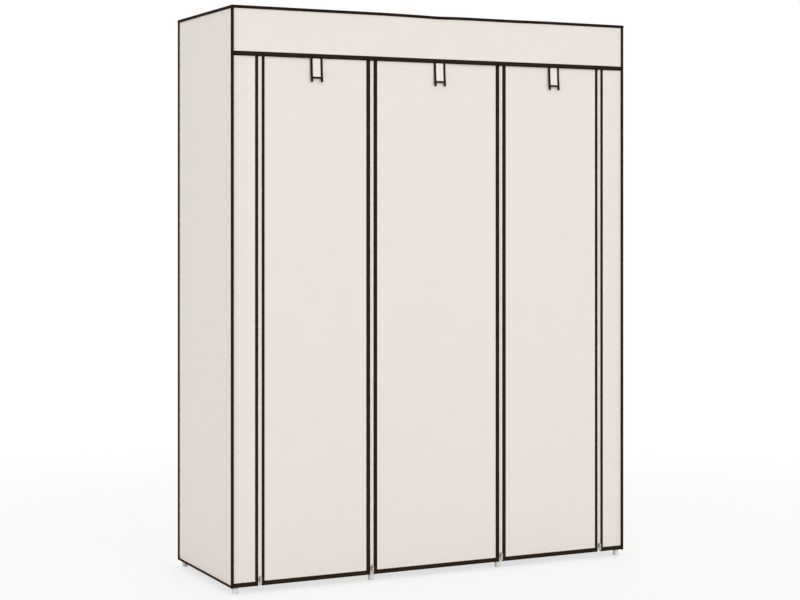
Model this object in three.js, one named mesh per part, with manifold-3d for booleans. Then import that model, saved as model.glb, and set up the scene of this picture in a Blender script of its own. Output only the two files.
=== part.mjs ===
// Portable fabric wardrobe: eight steel posts on plastic feet, joined by rails and bars that plug into
// plastic sleeves, with three shelves on the left, two hanging rods, and a sewn cover whose three front
// doors unzip and roll up under a header flap.
//
// Millimetres. The origin is on the floor under the middle of the cover, +X is the viewer's right, the doors
// face -Y and +Z is up.

import * as THREE from "three";
import { mergeVertices } from "three/addons/utils/BufferGeometryUtils.js";
import Module from "manifold-3d";

const wasm = await Module();
wasm.setup();

// Driving dimensions

const clearance = 0.3; // between pieces that plug together, rest on each other or are sewn edge to edge
const overrun = 1; // how far a cutting tool passes the face that it opens

const cover = { width: 1330, depth: 466, top: 1698, hem: 20, cloth: 0.8 };
const header = { height: 142, standOff: 0.6 };
const stile = { width: 79.5 };
const door = { centreWidth: 429, hemStrip: 50 };
const strap = { width: 39, length: 71, thickness: 0.8, leanDegrees: 4.3 };
const strapOffset = { left: 0, centre: 8, right: 11.5 }; // from the middle of its door

const tube = { radius: 8, wall: 0.6, sides: 12 };
const post = { sideRoom: 3.5, faceRoom: 3.5, insideZip: 3.7 };
const foot = { wall: 0.7, height: 26, base: 6, bevel: 0.8, sides: 20 };

// Plastic joints: a sleeve on the post, collars over the rail ends and a socket for the bar that runs back.
const joint = { wall: 2.2, collar: 22, socket: 34, socketWall: 12 };
const topJoint = { below: 30, capRise: 15, capWall: 4 };
const bottomJoint = { below: 22, above: 22, level: 75 };
const shelfJoint = { below: 15, above: 15 };

const shelf = { count: 3, collarGap: 2, lip: 18 };
const rod = { drop: 40, clipWall: 2.7, clipHalf: 12, endWall: 1.5, clipGrip: 13, neck: 6 };

const zip = { gap: 12.4, sideRoom: 0.6 };
const slider = { taper: 1.3, height: 15.5, depth: 5.5, proud: 3, above: 12 };
const ear = { gap: 4.4, wall: 1.2, rim: 1.2, barRadius: 0.9, barBelow: 4.5 };
const tab = { width: 7, thickness: 1.4, length: 20, corner: 2.2, neck: 0.5 };
const eye = { wall: 1.3, sideRoom: 0.5, swingRoom: 0.7 };

// Materials

const paint = (color, roughness, metalness = 0) =>
  new THREE.MeshStandardMaterial({ color, roughness, metalness });
const creamCloth = paint(0xe9e2dc, 0.95);
const innerCloth = paint(0xe6dfd8, 0.95);
const greySteel = paint(0xb9bbbc, 0.45, 0.6);
const palePlastic = paint(0xdedddb, 0.5);
const zipMetal = paint(0xa8a5a0, 0.35, 0.8);

// Places that follow from the dimensions

const halfWidth = cover.width / 2;
const frontFace = -cover.depth / 2;
const roofUnder = cover.top - cover.cloth;
const socketBore = tube.radius + clearance;
const jointRadius = socketBore + joint.wall;
const postFront = frontFace + post.faceRoom + jointRadius;
const postRear = -postFront;
const topLevel = roofUnder - clearance - topJoint.capRise;
const levels = evenSteps(bottomJoint.level, topLevel, shelf.count + 1);
const shelfLevels = levels.slice(1, -1);
const headerBottom = cover.top - header.height;
const sheetTop = roofUnder - clearance;
const hemTop = cover.hem + 2 * door.hemStrip;

const innerZip = door.centreWidth / 2 + zip.gap / 2;
const outerZip = halfWidth - stile.width - zip.gap / 2;
const zipXs = [-outerZip, -innerZip, innerZip, outerZip];
const outerPost = halfWidth - post.sideRoom - jointRadius;
const innerPost = innerZip - post.insideZip;
const postXs = [-outerPost, -innerPost, innerPost, outerPost];
const sideDoorWidth = outerZip - innerZip - zip.gap;
const doors = [
  { side: "left", x: -(outerZip + innerZip) / 2, width: sideDoorWidth },
  { side: "centre", x: 0, width: door.centreWidth },
  { side: "right", x: (outerZip + innerZip) / 2, width: sideDoorWidth },
];

// Values from low to high in a number of equal steps, both ends included.
function evenSteps(low, high, steps) {
  return Array.from({ length: steps + 1 }, (_, i) => low + ((high - low) * i) / steps);
}

// Solids

// A closed three.js geometry as a solid that can be joined and cut.
function solidOf(geometry) {
  const bare = geometry.index ? geometry.clone() : geometry;
  bare.deleteAttribute("normal");
  bare.deleteAttribute("uv");
  const merged = mergeVertices(bare);
  return new wasm.Manifold(
    new wasm.Mesh({
      numProp: 3,
      vertProperties: merged.attributes.position.array,
      triVerts: new Uint32Array(merged.index.array),
    }),
  );
}

// A solid as a three.js geometry.
function geometryOf(solid) {
  const made = solid.getMesh();
  return new THREE.BufferGeometry()
    .setAttribute("position", new THREE.BufferAttribute(made.vertProperties.slice(), 3))
    .setIndex(new THREE.BufferAttribute(made.triVerts.slice(), 1));
}

// A round bar along the x, y or z axis from low to high, through the point (a, b) of the other two axes.
function bar(axis, radius, low, high, a = 0, b = 0, sides = tube.sides) {
  const shape = new THREE.CylinderGeometry(radius, radius, high - low, sides);
  const middle = (low + high) / 2;
  if (axis === "x") return solidOf(shape.rotateZ(Math.PI / 2).translate(middle, a, b));
  if (axis === "y") return solidOf(shape.translate(a, middle, b));
  return solidOf(shape.rotateX(Math.PI / 2).translate(a, b, middle));
}

const joined = (solids) => solids.reduce((whole, piece) => whole.add(piece));
const cutBy = (solid, cutters) => cutters.reduce((left, cutter) => left.subtract(cutter), solid);

// A steel tube along an axis, open at both ends.
function openTube(axis, low, high) {
  const bore = bar(axis, tube.radius - tube.wall, low - overrun, high + overrun);
  return bar(axis, tube.radius, low, high).subtract(bore);
}

function mesh(name, shape, material, place = [0, 0, 0]) {
  const geometry = shape.isBufferGeometry ? shape : geometryOf(shape);
  const made = new THREE.Mesh(geometry, material);
  made.name = name;
  made.position.set(...place);
  return made;
}

// A flat cloth panel, given by its lowest and highest corner.
function panel(name, low, high, material = creamCloth) {
  const size = high.map((value, i) => value - low[i]);
  const middle = high.map((value, i) => (value + low[i]) / 2);
  return mesh(name, new THREE.BoxGeometry(...size), material, middle);
}

// Frame

const sleeve = (x, y, low, high) => bar("z", jointRadius, low, high, x, y);
const postBore = (x, y, low, high) => bar("z", socketBore, low, high, x, y);

// The rail along X through its joints, with collars over the tube ends. Level 0 is the rail's own axis.
function rail(xs, y) {
  const first = xs[0];
  const last = xs[xs.length - 1];
  const collars = xs.map((x) =>
    bar("x", jointRadius, Math.max(first, x - joint.collar), Math.min(last, x + joint.collar), y, 0),
  );
  return joined([bar("x", tube.radius, first, last, y, 0), ...collars]);
}
const railBore = (xs, y) => bar("x", tube.radius - tube.wall, xs[0], xs[xs.length - 1], y, 0);

// A rail run: the rail, a sleeve for each post and a socket for each bar. inward is the bars' way along Y.
function railRun(y, inward, low, high, boreTop) {
  const along = (near, far) => [near, far].map((reach) => y + inward * reach).sort((a, b) => a - b);
  const solids = postXs.flatMap((x) => [
    sleeve(x, y, low, high),
    bar("y", jointRadius, ...along(0, joint.socket), x, 0),
  ]);
  const bores = postXs.flatMap((x) => [
    postBore(x, y, low - overrun, boreTop),
    bar("y", socketBore, ...along(joint.socketWall, joint.socket + overrun), x, 0),
  ]);
  return cutBy(joined([rail(postXs, y), ...solids]), [...bores, railBore(postXs, y)]);
}

// The ends of a bar that plugs into the sockets of the front and rear runs.
const barFront = postFront + joint.socketWall + clearance;
const barRear = -barFront;

// The rear bottom run with its four bars, which plug into the front run's sockets.
function bottomRearFrame() {
  const { below, above } = bottomJoint;
  const solids = postXs.flatMap((x) => [
    sleeve(x, postRear, -below, above),
    bar("y", jointRadius, postRear - joint.collar, postRear, x, 0),
    bar("y", tube.radius, barFront, postRear, x, 0),
  ]);
  const bores = postXs.flatMap((x) => [
    postBore(x, postRear, -below - overrun, above + overrun),
    bar("y", tube.radius - tube.wall, barFront - overrun, postRear, x, 0),
  ]);
  return cutBy(joined([rail(postXs, postRear), ...solids]), [...bores, railBore(postXs, postRear)]);
}

// The ring of tubes that carries one shelf, with a sleeve on each of the bay's four posts.
function shelfFrame() {
  const { below, above } = shelfJoint;
  const xs = postXs.slice(0, 2);
  const ys = [postFront, postRear];
  const rails = ys.map((y) => rail(xs, y));
  const bars = xs.flatMap((x) => [
    bar("y", tube.radius, postFront, postRear, x, 0),
    bar("y", jointRadius, postFront, postFront + joint.collar, x, 0),
    bar("y", jointRadius, postRear - joint.collar, postRear, x, 0),
  ]);
  const sleeves = xs.flatMap((x) => ys.map((y) => sleeve(x, y, -below, above)));
  const postBores = xs.flatMap((x) => ys.map((y) => postBore(x, y, -below - overrun, above + overrun)));
  const hollows = [
    ...ys.map((y) => railBore(xs, y)),
    ...xs.map((x) => bar("y", tube.radius - tube.wall, postFront, postRear, x, 0)),
  ];
  return cutBy(joined([...rails, ...bars, ...sleeves]), [...postBores, ...hollows]);
}

// A top bar. Where it carries a rod it has a clip below its middle, with a socket for each rod end there.
function topBar(x, rodSides) {
  const plain = openTube("y", barFront, barRear);
  if (!rodSides.length) return plain;
  const gripEnd = rod.clipGrip + overrun;
  const gripBore = bar("y", tube.radius - tube.wall / 2, -gripEnd, gripEnd);
  const grip = bar("y", jointRadius, -rod.clipGrip, rod.clipGrip).subtract(gripBore);
  const neck = bar("z", rod.neck, -rod.drop, -tube.radius + tube.wall / 2);
  const ring = bar("x", socketBore + rod.clipWall, -rod.clipHalf, rod.clipHalf, 0, -rod.drop);
  const sockets = rodSides.map((side) => {
    const ends = [side * rod.endWall, side * (rod.clipHalf + overrun)].sort((a, b) => a - b);
    return bar("x", socketBore, ...ends, 0, -rod.drop);
  });
  return cutBy(joined([plain, grip, neck, ring]), sockets);
}

// A plastic foot cap, with its socket open at the top.
function footCap() {
  const radius = socketBore + foot.wall;
  const outline = [
    [0, 0],
    [radius - foot.bevel, 0],
    [radius, foot.bevel],
    [radius, foot.height],
    [socketBore, foot.height],
    [socketBore, foot.base],
    [0, foot.base],
  ].map(([r, z]) => new THREE.Vector2(r, z));
  return solidOf(new THREE.LatheGeometry(outline, foot.sides).rotateX(Math.PI / 2));
}

function frame() {
  const group = new THREE.Group();
  const postLow = foot.base + clearance;
  const postHigh = topLevel + topJoint.capRise - topJoint.capWall - clearance;
  for (const [row, y] of [["front", postFront], ["rear", postRear]])
    postXs.forEach((x, i) => {
      const upright = openTube("z", postLow, postHigh);
      group.add(mesh(`${row}_post_${i + 1}`, upright, greySteel, [x, y, 0]));
      group.add(mesh(`${row}_foot_${i + 1}`, footCap(), palePlastic, [x, y, 0]));
    });
  const capTop = topJoint.capRise;
  const topRun = (y, inward) => railRun(y, inward, -topJoint.below, capTop, capTop - topJoint.capWall);
  group.add(mesh("top_front_rail_run", topRun(postFront, 1), greySteel, [0, 0, topLevel]));
  group.add(mesh("top_rear_rail_run", topRun(postRear, -1), greySteel, [0, 0, topLevel]));
  const { below, above, level } = bottomJoint;
  const bottomRun = railRun(postFront, 1, -below, above, above + overrun);
  group.add(mesh("bottom_front_rail_run", bottomRun, greySteel, [0, 0, level]));
  group.add(mesh("bottom_rear_frame", bottomRearFrame(), greySteel, [0, 0, level]));
  const rodSidesAt = [[], [1], [-1, 1], [-1]];
  postXs.forEach((x, i) => {
    group.add(mesh(`top_depth_bar_${i + 1}`, topBar(x, rodSidesAt[i]), greySteel, [x, 0, topLevel]));
  });
  [["centre", 1], ["right", 2]].forEach(([bay, i]) => {
    const inset = rod.endWall + clearance;
    const hanger = openTube("x", postXs[i] + inset, postXs[i + 1] - inset);
    group.add(mesh(`hanging_rod_${bay}`, hanger, greySteel, [0, 0, topLevel - rod.drop]));
  });
  return group;
}

// Shelves

// The floor cloth: one sheet over the bottom collars, notched round the eight posts' sleeves.
function floorCloth() {
  const edge = postRear + tube.radius;
  const reach = jointRadius + clearance;
  const notch = postRear - reach;
  const side = postXs[postXs.length - 1] + tube.radius;
  const half = postXs.flatMap((x) => [
    [Math.max(-side, x - reach), edge],
    [Math.max(-side, x - reach), notch],
    [Math.min(side, x + reach), notch],
    [Math.min(side, x + reach), edge],
  ]).slice(1, -1);
  const outline = [...half, ...half.map(([x, y]) => [-x, -y])];
  const shape = new THREE.Shape(outline.map(([x, y]) => new THREE.Vector2(x, y)));
  return new THREE.ExtrudeGeometry(shape, { depth: cover.cloth, bevelEnabled: false });
}

// A shelf cloth: a plate over the two rails, with a lip down the outside of each.
function shelfCloth(width) {
  const inner = postRear + tube.radius + clearance;
  const outer = inner + cover.cloth;
  const top = tube.radius + clearance + cover.cloth;
  const under = top - cover.cloth;
  const low = under - shelf.lip;
  const half = [[outer, low], [outer, top], [-outer, top], [-outer, low], [-inner, low], [-inner, under]];
  const outline = [...half, [inner, under], [inner, low]];
  const shape = new THREE.Shape(outline.map(([y, z]) => new THREE.Vector2(y, z)));
  const extruded = new THREE.ExtrudeGeometry(shape, { depth: width, bevelEnabled: false });
  return extruded.rotateX(Math.PI / 2).rotateZ(Math.PI / 2).translate(-width / 2, 0, 0);
}

function shelves() {
  const group = new THREE.Group();
  const floorLevel = bottomJoint.level + jointRadius + clearance;
  group.add(mesh("floor_cloth", floorCloth(), innerCloth, [0, 0, floorLevel]));
  const [left, right] = postXs;
  const clothWidth = right - left - 2 * (joint.collar + shelf.collarGap);
  shelfLevels.forEach((level, i) => {
    const middle = [(left + right) / 2, 0, level];
    group.add(mesh(`shelf_frame_${i + 1}`, shelfFrame(), greySteel, [0, 0, level]));
    group.add(mesh(`shelf_cloth_${i + 1}`, shelfCloth(clothWidth), innerCloth, middle));
  });
  return group;
}

// Cover

function coverPanels() {
  const group = new THREE.Group();
  const { cloth, hem, top } = cover;
  const inside = halfWidth - cloth - clearance;
  const rearFace = -frontFace;
  group.add(panel("cover_roof", [-halfWidth, frontFace, roofUnder], [halfWidth, rearFace, top]));
  group.add(panel("cover_back", [-inside, rearFace - cloth, hem], [inside, rearFace, sheetTop]));
  for (const [side, sign] of [["left", -1], ["right", 1]]) {
    const wall = [sign * halfWidth, sign * (halfWidth - cloth)].sort((a, b) => a - b);
    const strip = [sign * inside, sign * (halfWidth - stile.width)].sort((a, b) => a - b);
    group.add(panel(`cover_${side}_side`, [wall[0], frontFace, hem], [wall[1], rearFace, sheetTop]));
    const stileBack = frontFace + cloth;
    group.add(panel(`cover_${side}_stile`, [strip[0], frontFace, hem], [strip[1], stileBack, sheetTop]));
  }
  const flapBack = frontFace - header.standOff;
  group.add(panel("header_flap", [-halfWidth, flapBack - cloth, headerBottom], [halfWidth, flapBack, top]));
  return group;
}

// A door: the sheet that is gathered up, and the two hem strips that curl outwards as it rises.
function doorPanels({ side, x, width }) {
  const rows = [
    ["sheet", hemTop, sheetTop],
    ["hem_upper", hemTop - door.hemStrip, hemTop - clearance],
    ["hem_lower", cover.hem, hemTop - door.hemStrip - clearance],
  ];
  const [left, right] = [x - width / 2, x + width / 2];
  return rows.map(([part, low, high]) =>
    panel(`${side}_door_${part}`, [left, frontFace, low], [right, frontFace + cover.cloth, high]),
  );
}

// A tie strap hangs below the header's hem and leans outwards a little.
function tieStrap({ side, x }) {
  const { width, length, thickness, leanDegrees } = strap;
  const drop = thickness / 2 + clearance;
  const flap = frontFace - header.standOff - cover.cloth / 2;
  const hinge = [x + strapOffset[side], flap, headerBottom - drop];
  const geometry = new THREE.BoxGeometry(width, thickness, length).translate(0, 0, -length / 2);
  const made = mesh(`${side}_tie_strap`, geometry, creamCloth, hinge);
  made.rotation.x = THREE.MathUtils.degToRad(-leanDegrees);
  return made;
}

// Zips

// The bar of a slider, which its pull swings on: how far it stands before the slider's face, and how high.
const eyeRadius = ear.barRadius + clearance + eye.wall;
const barReach = eyeRadius + eye.swingRoom;
const barHeight = slider.height - ear.barBelow;

// A zip slider: a body that narrows upwards, to the closed teeth, with two ears that hold the pull's bar.
function zipSlider() {
  const { taper, height, depth } = slider;
  const half = zip.gap / 2 - zip.sideRoom;
  const waist = half - taper;
  const shoulder = height / 2;
  const side = [[half, 0], [half, shoulder], [waist, height]];
  const outline = [...side, ...side.toReversed().map(([x, z]) => [-x, z])];
  const shape = new THREE.Shape(outline.map(([x, z]) => new THREE.Vector2(x, z)));
  const plate = new THREE.ExtrudeGeometry(shape, { depth, bevelEnabled: false });
  const barY = -depth - barReach;
  const earRadius = ear.barRadius + ear.rim;
  const earDepth = barReach + overrun;
  const ears = [-1, 1].flatMap((side) => {
    const ends = [side * (ear.gap / 2), side * (ear.gap / 2 + ear.wall)].sort((a, b) => a - b);
    const block = new THREE.BoxGeometry(ear.wall, earDepth, 2 * earRadius);
    block.translate((ends[0] + ends[1]) / 2, barY + earDepth / 2, barHeight);
    return [bar("x", earRadius, ...ends, barY, barHeight), solidOf(block)];
  });
  const reach = ear.gap / 2 + ear.wall / 2;
  const pin = bar("x", ear.barRadius, -reach, reach, barY, barHeight);
  return joined([solidOf(plate.rotateX(Math.PI / 2)), ...ears, pin]);
}

// A zip pull: an eye round the slider's bar, and a tab that hangs from it. Its own origin is the bar's axis.
function zipPull() {
  const { width, thickness, length, corner } = tab;
  const half = width / 2;
  const eyeWidth = ear.gap - 2 * eye.sideRoom;
  const start = eyeRadius + tab.neck;
  const shape = new THREE.Shape();
  shape.moveTo(-half, -start);
  shape.lineTo(-half, -length + corner);
  shape.absarc(-half + corner, -length + corner, corner, Math.PI, 1.5 * Math.PI);
  shape.absarc(half - corner, -length + corner, corner, 1.5 * Math.PI, 2 * Math.PI);
  shape.lineTo(half, -start);
  const plate = new THREE.ExtrudeGeometry(shape, { depth: thickness, bevelEnabled: false, curveSegments: 3 });
  const tongue = solidOf(plate.rotateX(Math.PI / 2).translate(0, thickness / 2, 0));
  const stem = solidOf(new THREE.BoxGeometry(eyeWidth, thickness, start).translate(0, 0, -start));
  const ring = bar("x", eyeRadius, -eyeWidth / 2, eyeWidth / 2);
  const hole = bar("x", ear.barRadius + clearance, -width, width);
  return joined([ring, stem, tongue]).subtract(hole);
}

function zips() {
  const group = new THREE.Group();
  const low = cover.hem + slider.above;
  const face = frontFace - slider.proud;
  ["outer_left", "inner_left", "inner_right", "outer_right"].forEach((place, i) => {
    const x = zipXs[i];
    const pivot = [x, face - barReach, low + barHeight];
    group.add(mesh(`zip_slider_${place}`, zipSlider(), zipMetal, [x, face + slider.depth, low]));
    group.add(mesh(`zip_pull_${place}`, zipPull(), zipMetal, pivot));
  });
  return group;
}

const wardrobe = new THREE.Group();
wardrobe.add(frame(), shelves(), coverPanels(), zips());
for (const each of doors) wardrobe.add(...doorPanels(each), tieStrap(each));

export default wardrobe;
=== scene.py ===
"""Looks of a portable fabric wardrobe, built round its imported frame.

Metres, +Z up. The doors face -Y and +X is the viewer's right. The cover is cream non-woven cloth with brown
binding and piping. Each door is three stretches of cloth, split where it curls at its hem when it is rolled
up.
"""
import logging
import math
from collections.abc import Callable, Iterable, Sequence
from dataclasses import dataclass, field, replace
from enum import Enum

import bpy
import numpy as np
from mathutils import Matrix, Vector


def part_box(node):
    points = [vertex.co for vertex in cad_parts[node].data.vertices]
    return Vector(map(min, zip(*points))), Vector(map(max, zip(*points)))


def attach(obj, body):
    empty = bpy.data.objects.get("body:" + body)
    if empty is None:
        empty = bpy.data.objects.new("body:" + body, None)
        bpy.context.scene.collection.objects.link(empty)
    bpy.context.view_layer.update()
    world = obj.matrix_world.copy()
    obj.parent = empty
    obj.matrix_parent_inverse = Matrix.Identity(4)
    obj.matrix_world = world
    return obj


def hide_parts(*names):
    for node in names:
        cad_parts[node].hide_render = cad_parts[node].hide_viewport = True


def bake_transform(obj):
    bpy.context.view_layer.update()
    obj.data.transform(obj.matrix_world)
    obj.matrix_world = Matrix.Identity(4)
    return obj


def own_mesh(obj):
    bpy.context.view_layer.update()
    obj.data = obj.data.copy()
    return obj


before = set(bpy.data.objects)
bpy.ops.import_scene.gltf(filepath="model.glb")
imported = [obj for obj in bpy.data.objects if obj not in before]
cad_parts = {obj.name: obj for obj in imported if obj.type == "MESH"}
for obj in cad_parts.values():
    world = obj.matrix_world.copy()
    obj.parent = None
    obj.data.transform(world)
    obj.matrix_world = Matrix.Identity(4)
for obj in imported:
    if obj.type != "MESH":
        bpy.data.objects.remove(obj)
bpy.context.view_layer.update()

FIXED = "wardrobe"
Array = np.ndarray
Colour = tuple[int, int, int]
Point = Sequence[float]
Span = tuple[float, float]
MM = 0.001
TURN = 2 * math.pi
log = logging.getLogger("wardrobe")


# Formulas

def smooth(share: Array) -> Array:
    """0 below 0, 1 above 1, and three times the square less twice the cube between."""
    inside = np.clip(share, 0, 1)
    return inside * inside * (3 - 2 * inside)


def steps(low: float, high: float, pitch: float) -> Array:
    """Even places from low to high, both included, about a pitch apart."""
    return np.linspace(low, high, max(2, math.ceil((high - low) / pitch) + 1))


def edge_fade(value: Array, span: Span, reach: float) -> Array:
    """0 at both ends of the span, rising smoothly to 1 within the reach."""
    return smooth((value - span[0]) / reach) * smooth((span[1] - value) / reach)


def around(count: int, shift: float = 0.0) -> Array:
    """Even angles round one turn, moved on by a share of their step."""
    return TURN * (np.arange(count) + shift) / count


def fuller(wave: Array, power: float) -> Array:
    """A sine or cosine with its size taken to a power and its sign kept: below 1 it nears a square wave."""
    return np.sign(wave) * np.abs(wave) ** power


def xyz(*parts: Array | float) -> Array:
    """Points from their x, y and z, each an array or one number for all."""
    return np.stack(np.broadcast_arrays(*parts), -1)


def lengths_along(path: Array) -> Array:
    """How far along a path each of its points lies: the sum of the straight legs before it."""
    return np.concatenate([[0], np.cumsum(np.linalg.norm(np.diff(path, axis=0), axis=1))])


def linear(colour: Colour) -> tuple[float, float, float, float]:
    """A colour written as on a screen, 0 to 255, as the light that it stands for, by the sRGB curve."""
    shares = np.array(colour) / 255
    light = np.where(shares <= 0.04045, shares / 12.92, ((shares + 0.055) / 1.055) ** 2.4)
    return (*map(float, light), 1.0)


@dataclass(frozen=True)
class Waves:
    """Slow unevenness of stretched cloth, as a sum of sine waves of drawn direction, length and phase."""

    seed: int
    size: float
    shortest: float = 0.14
    longest: float = 0.5
    count: int = 6

    def at(self, u: Array, v: Array) -> Array:
        """How far the cloth stands out at each place.

        The waves are sin(2 pi (u cos a + v sin a) / length + phase), each of an equal part of the size.

        Args:
            u: places along one side of the cloth.
            v: places along the other side.

        Returns:
            The height of the cloth at each place, in metres.
        """
        rng = np.random.default_rng(self.seed)
        angle, phase = rng.uniform(0, TURN, (2, self.count))
        length = rng.uniform(self.shortest, self.longest, self.count)
        along = np.multiply.outer(u, np.cos(angle)) + np.multiply.outer(v, np.sin(angle))
        return self.size / math.sqrt(self.count) * np.sin(TURN * along / length + phase).sum(-1)


@dataclass(frozen=True)
class Pucker:
    """Short ripples that stitching draws into cloth beside a seam."""

    seed: int
    size: float = 0.11 * MM
    reach: float = 7 * MM
    shortest: float = 24 * MM
    longest: float = 55 * MM
    count: int = 4

    def at(self, along: Array, inwards: Array) -> Array:
        """How far the cloth stands out: sines along the seam, times d / reach * exp(1 - d / reach).

        Args:
            along: places along the seam.
            inwards: how far each place lies from the seam, d.

        Returns:
            The height of the cloth at each place, in metres.
        """
        rng = np.random.default_rng(self.seed)
        length = rng.uniform(self.shortest, self.longest, self.count)
        phase = rng.uniform(0, TURN, self.count)
        wave = np.sin(TURN * np.multiply.outer(along, 1 / length) + phase).sum(-1)
        share = np.clip(inwards, 0, None) / self.reach
        return self.size * wave * share * np.exp(1 - share)


# Surfaces

class Axis(Enum):
    """The axis that a shape made along z is laid along, as the order in which its z, x and y are taken."""

    X = (2, 0, 1)
    Y = (1, 2, 0)
    Z = (0, 1, 2)


class Ends(Enum):
    """What closes a skin of rings at its two ends."""

    FAN = "a fan round the middle of each end ring"
    LADDER = "rungs between the two halves of each end ring"
    JOINED = "the last ring meets the first"


@dataclass
class Surface:
    """A closed surface as arrays: points, faces of four sides with texture places, and faces of three."""

    points: Array
    quads: Array
    uv: Array
    tris: Array = field(default_factory=lambda: np.zeros((0, 3), int))

    def volume(self) -> float:
        """The volume inside, as the sum of the signed cones from the first point to each face."""
        fans = np.concatenate([self.tris, self.quads[:, [0, 1, 2]], self.quads[:, [0, 2, 3]]])
        a, b, c = (self.points[fans[:, i]] - self.points[0] for i in range(3))
        return float((a * np.cross(b, c)).sum() / 6)

    def outward(self) -> "Surface":
        """The same surface, with its faces turned to point out."""
        if self.volume() > 0:
            return self
        return replace(self, quads=self.quads[:, ::-1], uv=self.uv[:, ::-1], tris=self.tris[:, ::-1])

    def moved(self, x: float = 0, y: float = 0, z: float = 0) -> "Surface":
        """The same surface at another place."""
        return replace(self, points=self.points + np.array([x, y, z]))

    def mirrored(self, x: bool, y: bool) -> "Surface":
        """The surface seen in a mirror across x, y or both, with its faces pointing out."""
        signs = np.array([-1 if x else 1, -1 if y else 1, 1])
        return replace(self, points=self.points * signs).outward()

    def laid_along(self, axis: Axis) -> "Surface":
        """A surface made along z, laid along an axis."""
        return replace(self, points=self.points[:, list(axis.value)])

    def along_tape(self, scale: float, shift: float = 0.0) -> "Surface":
        """A slab's texture turned for tape: metres along it, and the other side scaled to 0 to 1 across."""
        return replace(self, uv=np.stack([self.uv[..., 1], self.uv[..., 0] / scale + shift], -1))


def joined(surfaces: Iterable[Surface]) -> Surface:
    """Several surfaces as one, without changing any of them.

    Args:
        surfaces: the surfaces.

    Returns:
        One surface.
    """
    parts = list(surfaces)
    starts = np.cumsum([0] + [len(part.points) for part in parts])
    return Surface(
        np.concatenate([part.points for part in parts]),
        np.concatenate([part.quads + start for part, start in zip(parts, starts)]),
        np.concatenate([part.uv for part in parts]),
        np.concatenate([part.tris + start for part, start in zip(parts, starts)]),
    )


def skin(rings: Array, along: Array, across: Array, ends: Ends = Ends.FAN) -> Surface:
    """A closed surface through rings of points, each joined to the next.

    Args:
        rings: the points, (rings, points in a ring, 3).
        along: the texture's place of each ring, and of the first one again if the ends are joined.
        across: the texture's place of each point of a ring, and of the first one again.
        ends: what closes the surface at its two ends.

    Returns:
        The surface, with its faces pointing out.
    """
    count, size, _ = rings.shape
    i, j = np.meshgrid(np.arange(count if ends is Ends.JOINED else count - 1), np.arange(size), indexing="ij")
    i, j = i.ravel(), j.ravel()
    i2, j2 = (i + 1) % count, (j + 1) % size
    quads = np.stack([i * size + j, i * size + j2, i2 * size + j2, i2 * size + j], -1)
    corners = [(i, j), (i, j + 1), (i + 1, j + 1), (i + 1, j)]
    uv = np.stack([np.stack([along[a], across[b]], -1) for a, b in corners], 1)
    points = rings.reshape(-1, 3)
    if ends is Ends.JOINED:
        return Surface(points, quads, uv).outward()
    last = (count - 1) * size
    if ends is Ends.LADDER:
        a = np.arange(size // 2 - 1)
        rungs = np.stack([a + 1, a, size - 1 - a, size - 2 - a], -1)
        caps = np.concatenate([rungs, rungs[:, ::-1] + last])
        caps_uv = np.stack([along[caps // size], across[caps % size]], -1)
        return Surface(points, np.concatenate([quads, caps]), np.concatenate([uv, caps_uv])).outward()
    middles = rings[[0, -1]].mean(1)
    a, b = np.arange(size), (np.arange(size) + 1) % size
    middle = np.full(size, len(points))
    tris = np.concatenate([np.stack([b, a, middle], -1), np.stack([a + last, b + last, middle + 1], -1)])
    return Surface(np.concatenate([points, middles]), quads, uv, tris).outward()


def slab(
    us: Array, vs: Array, place: Callable[[Array, Array], Array], thick: float, keep: Array | None = None
) -> Surface:
    """Cloth of even thickness over a grid.

    The two faces stand half the thickness to each side of the middle surface, along the cross product of its
    two directions, and a rim closes every edge.

    Args:
        us: the grid's places along its first side.
        vs: the grid's places along its second side.
        place: gives the middle surface's points for arrays of u and v.
        thick: the cloth's thickness.
        keep: which cells of the grid are cloth; all of them if it is left out.

    Returns:
        The surface, whose texture places are u and v in metres.
    """
    u, v = np.meshgrid(us, vs, indexing="ij")
    middle = place(u, v)
    normal = np.cross(np.gradient(middle, axis=0), np.gradient(middle, axis=1))
    normal /= np.linalg.norm(normal, axis=-1, keepdims=True)
    points = np.concatenate([(middle + s * normal * thick / 2).reshape(-1, 3) for s in (1, -1)])
    cells = np.ones((len(us) - 1, len(vs) - 1), bool) if keep is None else keep
    wide, back = len(vs), u.size
    i, j = np.nonzero(cells)
    corner = i * wide + j
    front = np.stack([corner, corner + wide, corner + wide + 1, corner + 1], -1)
    faces = [front, front[:, ::-1] + back]
    ringed = np.pad(cells, 1)
    for di, dj, a, b in ((0, -1, 0, 1), (1, 0, 1, 2), (0, 1, 2, 3), (-1, 0, 3, 0)):
        edge = ~ringed[i + 1 + di, j + 1 + dj]
        start, end = front[edge, a], front[edge, b]
        faces.append(np.stack([end, start, start + back, end + back], -1))
    quads = np.concatenate(faces)
    used, renamed = np.unique(quads, return_inverse=True)
    texture = np.tile(np.stack([u.ravel(), v.ravel()], -1), (2, 1))
    return Surface(points[used], renamed.reshape(-1, 4), texture[quads]).outward()


def revolved(radii: Point, heights: Point, sides: int = 40, ring: bool = False) -> Surface:
    """A profile turned round the z axis.

    Args:
        radii: the profile's distance from the axis.
        heights: the profile's z, for each radius.
        sides: how many steps make the turn.
        ring: whether the profile closes on itself; otherwise both its ends are filled flat.

    Returns:
        The surface, with its faces pointing out.
    """
    angle, rise = around(sides), np.asarray(heights, float)
    circle = xyz(np.cos(angle), np.sin(angle), 0.0)
    points = np.asarray(radii)[:, None, None] * circle + rise[:, None, None] * np.array([0, 0, 1.0])
    turn = np.arange(sides + 1) / sides
    if not ring:
        return skin(points, rise, turn)
    return skin(points.transpose(1, 0, 2), turn, np.append(rise, rise[0]), Ends.JOINED)


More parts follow.
